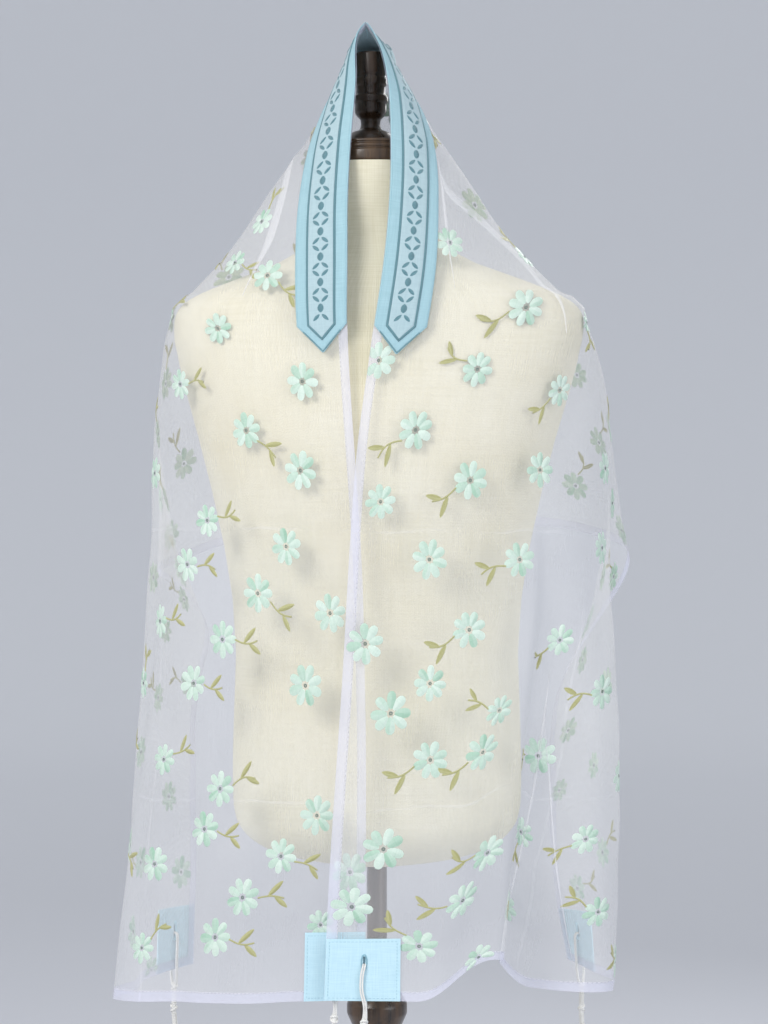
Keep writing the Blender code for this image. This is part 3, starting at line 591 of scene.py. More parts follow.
# %% Folds in the cloth
def fold_lift(folds, along, across):
    """How far the folds move the cloth, out and up, at places in the flat cloth."""
    down = along - SHOULDER[0]
    out = across - SHOULDER[1]
    far = np.hypot(down, out)
    angle = np.degrees(np.arctan2(out, down))
    total = np.zeros(far.shape + (2,))
    for fold in folds:
        turn = math.radians(fold.angle)
        to_short_edge = (HALF - SHOULDER[0]) / max(math.cos(turn), 0.05)
        to_rear_edge = (CLOTH_DEPTH - SHOULDER[1]) / max(math.sin(turn), 0.05)
        edge = min(to_short_edge, to_rear_edge)
        away = angle - fold.angle
        width = np.where(away < 0, fold.near, fold.far)
        shape = np.where(np.abs(away) < width, np.cos(np.pi * away / width / 2) ** 2, 0.0)
        growth = np.clip((far - fold.start) / (edge - fold.start), 0.0, 1.1)
        total += (shape * growth ** 1.3)[..., None] * (fold.reach, fold.rise)
    return total


print("folds, left and right:", len(LEFT_FOLDS), len(RIGHT_FOLDS))

# %% [markdown]
# Cloth rests on a form without going through it. Each solid under the cloth gives a field that
# is 0 on its surface, and any point too near is moved out along that field's slope.

# %% Clear of the form
def over_torso(points):
    """A field that is 0 on the torso and the neck cap and grows away from them."""
    drop = APEX_HEIGHT - points[..., 2]
    drops = [ring.drop for ring in TORSO]

    def at(name):
        return np.interp(drop, drops, [getattr(ring, name) for ring in TORSO])

    right, back = points[..., 0] - at("right"), points[..., 1] - at("back")
    ratio = ((np.abs(right) / at("half_width")) ** SQUARENESS
             + (np.abs(back) / at("half_depth")) ** SQUARENESS) ** (1 / SQUARENESS)
    beside = np.hypot(right, back) * (1 - 1 / np.maximum(ratio, 0.05))
    above = (TORSO[0].drop - NECK_CAP[0][1] - SEAM_GAP) - drop
    below = drop - TORSO[-1].drop
    return np.maximum(np.maximum(beside, above), below)


def over_finial(points):
    """The same for the finial, taken as a plain cylinder."""
    top = FINIAL_FOOT + FINIAL[0][1]
    radius = max(point[0] for point in FINIAL[:12])
    beside = np.hypot(points[..., 0] - FINIAL_SHIFT, points[..., 1]) - radius
    return np.maximum(beside, points[..., 2] - top)


def lift_off(points, field, margin):
    """How far each point has to move to lie at least margin outside a field's surface."""
    step = 0.5
    here = field(points)
    slope = np.stack([field(points + step * np.eye(3)[axis]) - here for axis in range(3)],
                     axis=-1) / step
    steep = np.linalg.norm(slope, axis=-1) + 1e-6
    short = np.maximum(margin - here / steep, 0.0)
    return slope / steep[..., None] * short[..., None]


def rest_on_form(grid):
    """Moves the grid, with the middles of its cells, just clear of the dress form."""
    margin = WALL / 2 + REST_GAP
    for field in (over_torso, over_finial):
        for _ in range(8):
            grid = grid + lift_off(grid, field, margin)
            middles = (grid[1:, 1:] + grid[:-1, 1:] + grid[1:, :-1] + grid[:-1, :-1]) / 4
            push = lift_off(middles, field, margin)
            needed = np.zeros_like(grid)
            for down in (0, 1):
                for over in (0, 1):
                    part = needed[down:grid.shape[0] - 1 + down, over:grid.shape[1] - 1 + over]
                    longer = np.linalg.norm(push, axis=-1) > np.linalg.norm(part, axis=-1)
                    part[longer] = push[longer]
            grid = grid + needed
    return grid


print("cloth kept clear of the form by", REST_GAP, "mm")

# %% [markdown]
# Both halves are joined into one grid, from the left short edge to the right one. Where the two
# tables leave the shoulders, rows are softened along the cloth.

# %% The whole cloth
def cloth_grid(along, across, passes):
    """The cloth's middle surface: rows from the left short edge to the right one."""
    count = 121
    shares = np.linspace(0.0, 1.0, count)
    left = plain_half(LEFT_HALF, along, count)
    right = plain_half(RIGHT_HALF, along, count)
    grid = np.concatenate((left[::-1], right[1:]))
    place = np.asarray(along, float)[:, None]
    lift = np.concatenate((fold_lift(LEFT_FOLDS, place, shares * CLOTH_DEPTH)[::-1],
                           fold_lift(RIGHT_FOLDS, place, shares * CLOTH_DEPTH)[1:]))
    grid = grid + lift[..., :1] * outward(grid) + lift[..., 1:] * (0, 0, 1)
    apart = np.abs(np.concatenate((-np.asarray(along)[::-1], np.asarray(along)[1:])))
    soft = np.interp(apart, (140, 230), (0.0, 0.25))
    for _ in range(passes):
        grid[1:-1] += soft[1:-1, None, None] * (grid[:-2] - 2 * grid[1:-1] + grid[2:])
    wanted = np.asarray(across) / CLOTH_DEPTH
    return rest_on_form(np.array([spread(line, wanted) for line in grid]))


print("the cloth measures", CLOTH_LENGTH, "by", CLOTH_DEPTH, "mm flat")

# %% [markdown]
# ## From the flat cloth to the drape
# The surface is worked out every 5 mm. Small soft ripples are added, weaker where the neckband
# stiffens the edge. The band's edge is eased where it passes the rim of the neck cap. Every later
# piece asks this surface where a place in the flat cloth lies.

# %% Fine surface
STEP = 5.0
RIPPLES, RIPPLE_HEIGHT = 26, 0.62
# the part of the cloth that is eased by the neck cap: from and to, along it, and how far across
CAP_NEAR, CAP_FAR, CAP_DEPTH, EASINGS = 75, 155, 80, 10
ALONG = np.linspace(0.0, HALF, int(HALF / STEP) + 1)
ACROSS = np.linspace(0.0, CLOTH_DEPTH, int(CLOTH_DEPTH / STEP) + 1)
plain = cloth_grid(ALONG, ACROSS, 40)
U = np.concatenate((-ALONG[::-1], ALONG[1:]))[:, None] * np.ones(len(ACROSS))
V = ACROSS[None, :] * np.ones((len(U), 1))


def ripples(u, v):
    """Height of the small uneven ripples, in mm."""
    out = np.zeros_like(u)
    for _ in range(RIPPLES):
        size = rng.uniform(45, 150)
        turn = rng.uniform(-0.55, 0.55) + rng.choice((0.0, 0.0, math.pi / 2))
        phase = rng.uniform(0, 2 * math.pi)
        drift = 22 * np.sin(u / rng.uniform(90, 160) + phase) + 16 * np.sin(v / 75 + 2 * phase)
        place = (v * math.cos(turn) + u * math.sin(turn) + drift) / size
        patchy = 0.5 + 0.5 * np.sin(u / rng.uniform(120, 260) + v / rng.uniform(90, 200) + phase)
        out += np.sin(2 * math.pi * place + phase) * patchy ** 2 * size / 150
    stiff = np.clip((v - BAND_WIDTH) / 40, 0, 1)
    stiff = np.where(np.abs(u) > BAND_SHOULDER + 60, 0.25 + 0.75 * stiff, stiff)
    loose = np.clip((np.abs(u) - 40) / 220, 0, 1)
    corner = np.clip((HALF - np.abs(u)) / 150, 0.25, 1)
    return out * RIPPLE_HEIGHT * stiff * (0.25 + 0.75 * loose) * corner


surface = rest_on_form(plain + ripples(U, V)[..., None] * outward(plain))
by_cap = (np.abs(U) > CAP_NEAR) & (np.abs(U) < CAP_FAR) & (V < CAP_DEPTH)
for _ in range(EASINGS):
    smoother = (surface[:-2] + 2 * surface[1:-1] + surface[2:]) / 4
    surface[1:-1] = np.where(by_cap[1:-1, :, None], smoother, surface[1:-1])
facing = outward(surface)


def read(values, u, v):
    """Reads a grid of values at places in the flat cloth."""
    row = np.clip((np.asarray(u, float) + HALF) / STEP, 0, len(values) - 1.001)
    column = np.clip(np.asarray(v, float) / STEP, 0, values.shape[1] - 1.001)
    low, left = row.astype(int), column.astype(int)
    down, over = (row - low)[..., None], (column - left)[..., None]
    return ((1 - down) * ((1 - over) * values[low, left] + over * values[low, left + 1])
            + down * ((1 - over) * values[low + 1, left] + over * values[low + 1, left + 1]))


def on_cloth(u, v, lift=0.0):
    """Points in mm for places in the flat cloth, lifted off its middle surface."""
    return read(surface, u, v) + np.asarray(lift, float)[..., None] * read(facing, u, v)


print("surface points:", surface.shape[:2])

# %% [markdown]
# ## Parts and pieces
# A part is a set of points, its faces, its layout in the flat cloth, and a tone, which on stitched
# thread is also its painted sheen. Parts that are sewn or made as one are joined into one piece,
# which rides on the frame's root.

# %% Parts and pieces
pieces = {}


def part(points, faces, layout, tone_and_sheen=0.5):
    points = np.asarray(points, float).reshape(-1, 3)
    layout = np.asarray(layout, float).reshape(-1, 2)
    return points, np.asarray(faces, int), layout, np.full(len(points), float(tone_and_sheen))


def strip_faces(rows, columns, closed=False, flip=False):
    """Four-sided faces between rows of points. closed joins the last column to the first."""
    reach = columns if closed else columns - 1
    upper = np.arange(rows - 1)[:, None] * columns + np.arange(reach)[None, :]
    right = np.arange(rows - 1)[:, None] * columns + (np.arange(reach)[None, :] + 1) % columns
    faces = np.stack((upper, upper + columns, right + columns, right), axis=-1).reshape(-1, 4)
    return faces[:, ::-1] if flip else faces


def counts(word):
    """The triangles of each piece with this word in its name."""
    return {name: count for name, count in pieces.items() if word in name}


def build(name, parts, material, replaced=()):
    """Joins parts into one named piece."""
    mesh = bpy.data.meshes.new(name)
    faces, start = [], 0
    for points, own, _, _ in parts:
        faces += (own + start).tolist()
        start += len(points)
    mesh.from_pydata((np.concatenate([one[0] for one in parts]) * MM).tolist(), [], faces)
    layout = np.concatenate([one[2] for one in parts])
    corners = np.empty(len(mesh.loops), int)
    mesh.loops.foreach_get("vertex_index", corners)
    mesh.uv_layers.new(name="cut").data.foreach_set("uv", layout[corners].ravel())
    tones_and_sheens = np.concatenate([one[3] for one in parts])
    mesh.attributes.new("tone_and_sheen", "FLOAT", "POINT").data.foreach_set("value", tones_and_sheens)
    mesh.polygons.foreach_set("use_smooth", [True] * len(mesh.polygons))
    mesh.materials.append(material)
    mesh.validate()
    thing = bpy.data.objects.new(name, mesh)
    scene.collection.objects.link(thing)
    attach(thing, "root")
    if replaced:
        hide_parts(*replaced)
    pieces[name] = sum(len(face) - 2 for face in faces)
    return thing


# %% [markdown]
# ## The cloth
# One open sheet, with its four buttonholes left open. A sheet this sheer needs no thickness: light
# passes through it once, as through the real cloth.

# %% Cloth
SLIT_LONG, SLIT_WIDE = 13.0, 2.4
HOLES = [(side * (HALF - HOLE_UP), across) for side in (-1, 1)
         for across in (HOLE_IN, CLOTH_DEPTH - HOLE_IN)]


def in_slit(u, v, grow=0.0):
    """True where a place in the flat cloth lies in a buttonhole."""
    return any(abs(u - hole[0]) < SLIT_LONG / 2 + grow
               and abs(v - hole[1]) < SLIT_WIDE / 2 + grow for hole in HOLES)


cell_faces = strip_faces(*surface.shape[:2])
middle_u = (U[:-1, :-1] + STEP / 2).ravel()
middle_v = (V[:-1, :-1] + STEP / 2).ravel()
kept_cells = [face for face, u, v in zip(cell_faces, middle_u, middle_v)
              if not in_slit(u, v, 1.2)]
cloth_layout = np.stack((U, V), axis=-1) * MM
cloth = build("shawl_cloth_sheer", [part(surface, kept_cells, cloth_layout)], organza,
              ["shawl_cloth"])
print("cloth:", pieces["shawl_cloth_sheer"])

# %% [markdown]
# The hem is turned to the inside, 1 cm wide, and held by a running stitch. A stitch is modelled as
# a small raised thread, since its shadow is what shows.

# %% A path and its stitches
def dense(path, step=5.0):
    """The same path with a point every few millimetres."""
    out = []
    for first, last in zip(path, path[1:]):
        first, last = np.array(first, float), np.array(last, float)
        count = max(int(np.linalg.norm(last - first) / step), 1)
        out += [first + (last - first) * i / count for i in range(count)]
    return np.array(out + [np.array(path[-1], float)])


def stitches(path, pitch, length, width, low, height):
    """A running stitch: separate small threads laid along a path in the flat cloth."""
    path = np.asarray(path, float)
    steps = np.linalg.norm(np.diff(path, axis=0), axis=1)
    gone = np.concatenate(([0], np.cumsum(steps)))
    starts = np.arange(pitch / 2, gone[-1] - length, pitch)
    offsets = np.array(((0, 0), (0.2, 1), (0.8, 1), (1, 0)))
    points, layout, faces = [], [], []
    for start in starts:
        along = start + offsets[:, 0] * length
        middle = np.stack([np.interp(along, gone, path[:, axis]) for axis in (0, 1)], axis=1)
        ahead = middle[-1] - middle[0]
        beside = np.array((-ahead[1], ahead[0])) / (np.linalg.norm(ahead) + 1e-9)
        base = len(points)
        for side in (-0.5, 0.0, 0.5):
            for spot, raise_by in zip(middle, offsets[:, 1]):
                place = spot + beside * side * width
                points.append((place[0], place[1], low + height * raise_by * (side == 0)
                               + 0.1 * height * raise_by))
                layout.append(place * MM)
        faces += (strip_faces(3, 4) + base).tolist()
    points = np.array(points)
    return part(on_cloth(points[:, 0], points[:, 1], points[:, 2]), faces, layout)


print("stitches ready")

# %% Hem
HEM_PATH = [(-HALF, 0.0), (HALF, 0.0), (HALF, CLOTH_DEPTH), (-HALF, CLOTH_DEPTH), (-HALF, 0.0)]


def hem_strip():
    path = dense(HEM_PATH)
    points, layout = [], []
    for place in path:
        inner = np.array((np.clip(place[0], -HALF + HEM, HALF - HEM),
                          np.clip(place[1], HEM, CLOTH_DEPTH - HEM)))
        for share, lift in ((0.0, 0.0), (0.02, -0.35), (0.5, -0.45), (1.0, -0.3)):
            spot = place + (inner - place) * share
            points.append(on_cloth(spot[0], spot[1], lift))
            layout.append(spot * MM)
    return part(points, strip_faces(len(path), 4), layout)


inset = HEM - 0.8
HEM_LINE = [(-HALF + inset, inset), (HALF - inset, inset), (HALF - inset, CLOTH_DEPTH - inset),
            (-HALF + inset, CLOTH_DEPTH - inset), (-HALF + inset, inset)]
build("shawl_hem", [hem_strip()], organza)
build("shawl_hem_stitch", [stitches(dense(HEM_LINE), 4.2, 3.0, 0.55, 0.12, 0.25)], white_sewing)
print("cloth, hem and its stitches:", dict(pieces))

# %% [markdown]
# Small pleats, too fine for the surface: three soft ones from beside the neckband towards the
# shoulders, and two pressed folds by the notch in the hem. Each is a low ridge of the same cloth
# over a flatter one, and narrows at both ends. Each path in the flat cloth is followed by a width.

# %% Pleats
def ribbon(path, width, low, height, closed=False, tone_and_sheen=0.5):
    """A raised line of satin stitch along a path in the flat cloth."""
    path = np.asarray(path, float)
    ahead = np.roll(path, -1, axis=0) - np.roll(path, 1, axis=0)
    if not closed:
        ahead[0], ahead[-1] = path[1] - path[0], path[-1] - path[-2]
    ahead /= np.linalg.norm(ahead, axis=1, keepdims=True) + 1e-9
    beside = np.stack((-ahead[:, 1], ahead[:, 0]), axis=1)
    if closed:
        path, beside = np.vstack((path, path[:1])), np.vstack((beside, beside[:1]))
    gone = np.concatenate(([0], np.cumsum(np.linalg.norm(np.diff(path, axis=0), axis=1))))
    turns = np.linspace(0, math.pi, 6)
    off = np.cos(turns) * np.broadcast_to(width, len(path))[:, None] / 2
    places = path[:, None] + beside[:, None] * off[..., None]
    lifts = low + height * np.sin(turns)[None, :] * np.ones((len(path), 1))
    layout = np.stack((gone[:, None] * np.ones(6), off), axis=-1) * MM
    return part(on_cloth(places[..., 0], places[..., 1], lifts),
                strip_faces(len(path), 6), layout, tone_and_sheen)


def path_through(places, count):
    """A smooth path through a few places, as evenly as they are spaced."""
    places = np.asarray(places, float)
    return smooth_through(np.arange(len(places)), places,
                          np.linspace(0, len(places) - 1, count))


PLEATS = (([(-92, 90), (-119, 83), (-155, 78), (-197, 84), (-226, 95), (-262, 112)], 10.0),
          ([(140, 58), (158, 68), (179, 107), (213, 154), (257, 185), (300, 205)], 10.0),
          ([(112, 55), (127, 56), (178, 62), (221, 67), (262, 76)], 3.6),
          ([(610, 226), (651, 229), (722, 232), (812, 231), (858, 228), (905, 226)], 2.4),
          ([(640, 228), (669, 233), (706, 244), (757, 258), (805, 273), (849, 289), (900, 309)],
           1.8))
PLEAT_POINTS = 40
# the pleats' layout is moved here, in metres, so that the hem's shading doesn't reach it
INSIDE_CUT = (0.3, 0.2)

opening = np.clip(np.linspace(0, 4, PLEAT_POINTS), 0.08, 1)
closing = np.clip(np.linspace(2.6, 0, PLEAT_POINTS), 0.08, 1)
pleats = []
for path, width in PLEATS:
    line = path_through(path, PLEAT_POINTS)
    for low, height in ((0.1, 0.45), (0.15, 0.95)):
        points, faces, layout, tone_and_sheen = ribbon(line, width * opening * closing, low, height)
        pleats.append((points, faces, layout + INSIDE_CUT, tone_and_sheen))
build("shawl_pleats", pleats, organza)
print("pleats:", pieces["shawl_pleats"])

# %% [markdown]
# ## Sewn layers
# The neckband, its strip and the patches are opaque, so each is a slab with a top, an underside
# and rounded rims. It is dented a little where a seam draws it down.

# %% Sewn layers
def fan(count):
    """Four-sided faces that close a ring with facing sides."""
    return [(i, i + 1, count - 2 - i, count - 1 - i) for i in range(count // 2 - 1)]


def slab(rows, low, top, rim=0.5, count=9, dips=()):
    """A sewn layer between two edges. rows gives (u, v) at both edges of each row."""
    thick = top - low
    shares = np.linspace(0, 1, count)
    outline = [(share, top, 0) for share in shares] + [(share, low, 0) for share in shares[::-1]]
    outline[0] = (0, top - thick * 0.25, rim)
    outline[count - 1] = (1, top - thick * 0.25, -rim)
    outline[count] = (1, low, -rim)
    outline[-1] = (0, low, rim)
    outline.insert(count, (1, low + thick * 0.35, 0))
    outline.append((0, low + thick * 0.35, 0))
    points, layout = [], []
    for first, last in rows:
        first, last = np.array(first, float), np.array(last, float)
        width = np.linalg.norm(last - first) + 1e-9
        for share, lift, inset in outline:
            share = min(max(share + inset * min(1.0, width / 8) / width, 0), 1)
            place = first + (last - first) * share
            from_edge = min(share, 1 - share) * width
            for dip in dips:
                if lift == top and abs(from_edge - dip) < 1.6:
                    lift -= 0.35 * (1 - abs(from_edge - dip) / 1.6)
            points.append(on_cloth(place[0], place[1], lift))
            layout.append(place * MM)
    sides = len(outline)
    faces = strip_faces(len(rows), sides, True).tolist()
    made = part(points, faces, layout)
    caps = [list(range(sides)), list(range((len(rows) - 1) * sides, len(rows) * sides))[::-1]]
    return [made] + [part(made[0][cap], fan(len(cap)), made[2][cap]) for cap in caps]


print("sewn layers are", WALL, "mm thick")

# %% [markdown]
# ## The neckband
# A long band of blue cotton with a pointed end each side, and a paler, narrower strip on it. Both
# are laid out flat, row by row, so that they follow every fold of the cloth under them.

# %% Neckband
def pointed(reach, point, first, last, step=4.0):
    """Rows of a band with pointed ends, from one tip to the other."""
    middle = (first + last) / 2
    rows = []
    for share in (0.04, 0.35, 0.7):
        rows.append((-(reach + point * (1 - share)), share))
    rows += [(u, 1.0) for u in np.linspace(-reach, reach, int(2 * reach / step) + 1)]
    rows += [(-u, share) for u, share in rows[2::-1]]
    return [((u, middle - (middle - first) * share), (u, middle + (last - middle) * share))
            for u, share in rows]


STRIP_WALL, STRIP_POINT, STRIP_FIRST, STRIP_LAST = 0.8, 12.5, 14.0, 40.0
MIDDLE, MOTIF = BAND_WIDTH / 2, 26.0
band_low, band_top = WALL / 2 + SEAM_GAP, WALL * 1.5 + SEAM_GAP
strip_low, strip_top = band_top + SEAM_GAP, band_top + SEAM_GAP + STRIP_WALL
build("neckband_cotton", slab(pointed(BAND_SHOULDER, BAND_POINT, 0.2, BAND_WIDTH - 0.2),
                              band_low, band_top, 0.7, 17, (2.2,)), blue_cotton, ["neckband"])
build("neckband_centre_strip",
      slab(pointed(BAND_SHOULDER, STRIP_POINT, STRIP_FIRST, STRIP_LAST), strip_low, strip_top,
           0.5, 11),
      pale_cotton, ["neckband_centre"])


print("neckband:", pieces["neckband_cotton"], "strip:", pieces["neckband_centre_strip"])

# %% [markdown]
# Slate satin lines border the strip, and down its middle runs a plain chain of lozenges and
# leaves. Each is a dome of thread, as satin stitch swells where its threads are longest.

# %% Stitching on the neckband
def leaf_shape(centre, direction, length, width, low, height, tones_and_sheens=(0.5, 0.5), under=None,
               point=0.35, swell=0.0):
    """A domed oval of stitches, and its back if under is set. point sharpens its ends, swell
    widens its far end, and the two tones given are those of its two long halves: painted sheen,
    which makes one half look lit and the other shaded."""
    turns = np.linspace(0, 2 * math.pi, 12, endpoint=False) + math.pi / 12
    ahead = np.array((math.cos(direction), math.sin(direction)))
    beside = np.array((-ahead[1], ahead[0]))
    rings = np.array(((1.0, 0.0), (0.66, 0.75), (0.0, 1.0)))
    x = np.cos(turns) * length / 2 * rings[:, :1]
    y = np.sin(turns) * np.abs(np.sin(turns)) ** point * width / 2 * rings[:, :1]
    y = y * (1 + swell * np.cos(turns))
    places = np.array(centre) + x[..., None] * ahead + y[..., None] * beside
    tone_and_sheen = np.where(np.sin(turns) > 0, tones_and_sheens[0], tones_and_sheens[1]) * np.ones((3, 1))
    made = []
    for lift, sign in ((height, 1), (under, -1)):
        if lift is None:
            continue
        points = on_cloth(np.clip(places[..., 0], -HALF, HALF),
                          np.clip(places[..., 1], 0.3, CLOTH_DEPTH - 0.3),
                          low + sign * lift * rings[:, 1:] * np.ones(12))
        one = part(points, strip_faces(3, 12, True, sign < 0),
                   np.stack((x, np.abs(y)), axis=-1) * MM)
        made.append(one[:3] + (tone_and_sheen.ravel(),))
    return made


def v_line(reach, point, first, last):
    middle = (first + last) / 2
    return dense([(-reach, first), (reach, first), (reach + point, middle), (reach, last),
                  (-reach, last), (-reach - point, middle), (-reach, first)], 4.0)[:-1]


borders = [ribbon(v_line(BAND_SHOULDER, STRIP_POINT + 1, STRIP_FIRST - 0.8, STRIP_LAST + 0.8),
                  2.9, band_top - 0.1, 1.25, True, 0.45)]
chevrons = [ribbon(dense([(side * (BAND_SHOULDER + 6), MIDDLE - 20),
                          (side * (BAND_SHOULDER + 25), MIDDLE),
                          (side * (BAND_SHOULDER + 6), MIDDLE + 20)], 3.0),
                   1.5, band_top - 0.1, 0.7, False, 0.9) for side in (-1, 1)]
chain = []
for spot in np.arange(-BAND_SHOULDER + 16, BAND_SHOULDER - 15, MOTIF):
    # the two halves of each shape carry painted sheen: one looks lit, the other shaded
    chain += leaf_shape((spot, MIDDLE), 0.0, 9.6, 7.0, strip_top - 0.1, 0.7, (0.2, 0.5))
    for side in (-1, 1):
        for turn in (-1, 1):
            chain += leaf_shape((spot + side * 9.2, MIDDLE + turn * 4.6), side * turn * 0.85,
                                10.0, 3.8, strip_top - 0.1, 0.6, (0.6, 0.2))
build("neckband_satin_lines", borders + chevrons, line_thread)
build("neckband_ornament", chain, line_thread)
seam_rows = pointed(BAND_SHOULDER, BAND_POINT - 3, 1.9, BAND_WIDTH - 1.9, 8.0)
seam_path = [row[0] for row in seam_rows] + [row[1] for row in seam_rows[::-1]]
build("neckband_topstitch", [stitches(dense(seam_path, 4.0), 3.1, 2.3, 0.5, band_top - 0.3, 0.3)],
      blue_sewing)
print("neckband:", counts("neckband"))

# %% [markdown]
# ## Corner patches
# Each corner is backed by a square of blue cotton with a stitched slit, its buttonhole. It is laid
# out in small cells, and those over the slit are left out, as they are in the cloth below.

# %% Patches
CELLS, SEAM_IN = 32, 3.0


def inward(u_edge, v_edge):
    """Which way along and across the cloth lead in from a corner."""
    return (1 if u_edge < 0 else -1), (1 if v_edge == 0 else -1)


def patch_parts(u_edge, v_edge):
    """One patch as a slab with a slit, laid out from its outer corner."""
    u_side, v_side = inward(u_edge, v_edge)
    steps = np.linspace(0.15, PATCH, CELLS + 1)
    u = (u_edge + u_side * steps)[:, None] * np.ones(CELLS + 1)
    v = (v_edge + v_side * steps)[None, :] * np.ones((CELLS + 1, 1))
    edge = np.minimum(np.minimum(steps[:, None], PATCH - steps[:, None]),
                      np.minimum(steps[None, :], PATCH - steps[None, :]))
    top = band_top - 0.3 * np.exp(-((edge - SEAM_IN) / 1.1) ** 2) - 0.3 * (edge < 0.3)
    upper, lower = on_cloth(u, v, top), on_cloth(u, v, np.full_like(u, band_low))
    flip = u_side * v_side < 0
    keep = [not in_slit(u[row, column] + u_side, v[row, column] + v_side)
            for row in range(CELLS) for column in range(CELLS)]
    faces = strip_faces(CELLS + 1, CELLS + 1, False, flip)[keep]
    under = strip_faces(CELLS + 1, CELLS + 1, False, not flip)[keep]
    layout = np.stack((u, v), axis=-1) * MM
    made = [part(upper, faces, layout), part(lower, under, layout)]
    border = [(row, 0) for row in range(CELLS)] + [(CELLS, row) for row in range(CELLS)]
    border += [(CELLS - row, CELLS) for row in range(CELLS)]
    border += [(0, CELLS - row) for row in range(CELLS + 1)]
    rows, columns = np.array(border).T
    ring = np.concatenate((upper[rows, columns], lower[rows, columns]))
    both = np.concatenate((layout[rows, columns], layout[rows, columns]))
    return made + [part(ring, strip_faces(2, len(border), False, not flip), both)]


slits, edges = [], []
for side, u_edge in (("left", -HALF), ("right", HALF)):
    for end, v_edge in (("front", 0.0), ("rear", CLOTH_DEPTH)):
        name = side + "_" + end
        build("patch_cotton_" + name, patch_parts(u_edge, v_edge), patch_cotton,
              ["patch_" + name])
        u_side, v_side = inward(u_edge, v_edge)
        near, far = SEAM_IN, PATCH - SEAM_IN
        corners = [(u_edge + u_side * a, v_edge + v_side * b) for a, b in
                   ((near, near), (far, near), (far, far), (near, far), (near, near))]
        edges.append(stitches(dense(corners, 3.0), 3.4, 2.4, 0.55, band_top - 0.25, 0.32))
        hole = (u_edge + u_side * HOLE_UP, v_edge + v_side * HOLE_IN)
        turns = np.linspace(0, 2 * math.pi, 28, endpoint=False)
        rim = np.stack((hole[0] + 7.8 * np.cos(turns), hole[1] + 2.3 * np.sin(turns)), axis=1)
        slits.append(ribbon(rim, 1.7, band_top - 0.15, 0.55, True, 0.8))
build("patch_topstitch", edges, blue_sewing)
build("buttonhole_stitch", slits, blue_sewing)
print("patches:", counts("patch"))

# %% [markdown]
# ## Corner tassels
# A cord is drawn through each buttonhole and doubled. It is knotted five times, wound between the
# knots, and hangs on as eight free strands. A bevelled curve could make the cord too, but a tube
# built ring by ring also gives it a layout, which its plies need.

# %% Cord round a path
def tube(points, radii, sides=8):
    """A cord through points in mm, with its layout along and round it."""
    points = np.asarray(points, float)
    radii = np.broadcast_to(radii, len(points))
    ahead = np.gradient(points, axis=0)
    ahead /= np.linalg.norm(ahead, axis=1, keepdims=True) + 1e-9
    gone = np.concatenate(([0], np.cumsum(np.linalg.norm(np.diff(points, axis=0), axis=1))))
    side = np.cross(ahead[0], (0.31, 0.87, 0.38))
    ring_points, layout = [], []
    for step, (point, forward, radius) in enumerate(zip(points, ahead, radii)):
        side = side - forward * side.dot(forward)
        side /= np.linalg.norm(side) + 1e-9
        other = np.cross(forward, side)
        for turn in np.arange(sides) * 2 * math.pi / sides:
            ring_points.append(point + radius * (math.cos(turn) * side + math.sin(turn) * other))
            layout.append((gone[step] * MM, turn * radius * MM))
    faces = strip_faces(len(points), sides, True).tolist()
    made = [part(ring_points, faces, layout)]
    for end in (0, len(points) - 1):
        cap = np.arange(end * sides, (end + 1) * sides)
        cap = cap[::-1] if end else cap
        made.append(part(made[0][0][cap], fan(sides), made[0][2][cap]))
    return made


print("cord ready")

# %% [markdown]
# The cord's path is worked out below one buttonhole, and the tassel is then hung in each.

# %% Tassels
CORD_RADIUS, STRANDS, TASSEL_LENGTH, HOLE_RADIUS = 1.3, 8, 300.0, 4.0
KNOTS, KNOT_PITCH, WINDINGS = 5, 21.0, (7, 8, 8, 8)


def loop_path(shift):
    """The doubled cord, up the face of the patch, through the buttonhole and down behind."""
    outer = WALL * 1.5 + SEAM_GAP + CORD_RADIUS + 0.7
    inner = -(WALL / 2 + CORD_RADIUS + 0.9)
    in_hole = -(HOLE_RADIUS - CORD_RADIUS - 2 * SEAM_GAP)
    knot = -HOLE_UP - 13
    return np.array(((0.6, 1.2, knot), (1.0, 3.0, knot + 6), (0.4, outer, knot + 16),
                     (-2.4, outer + 0.3, -24), (-2.0, outer + 0.4, -11),
                     (-0.4, outer - 0.1, -4.0), (0, 2.2, in_hole), (0, -0.4, in_hole),
                     (0, inner, -4.2), (0.4, inner - 0.4, -12), (1.0, inner - 0.2, -30),
                     (0.8, inner, knot + 9), (-0.4, -1.0, knot))) + (shift, 0.0, 0.0)


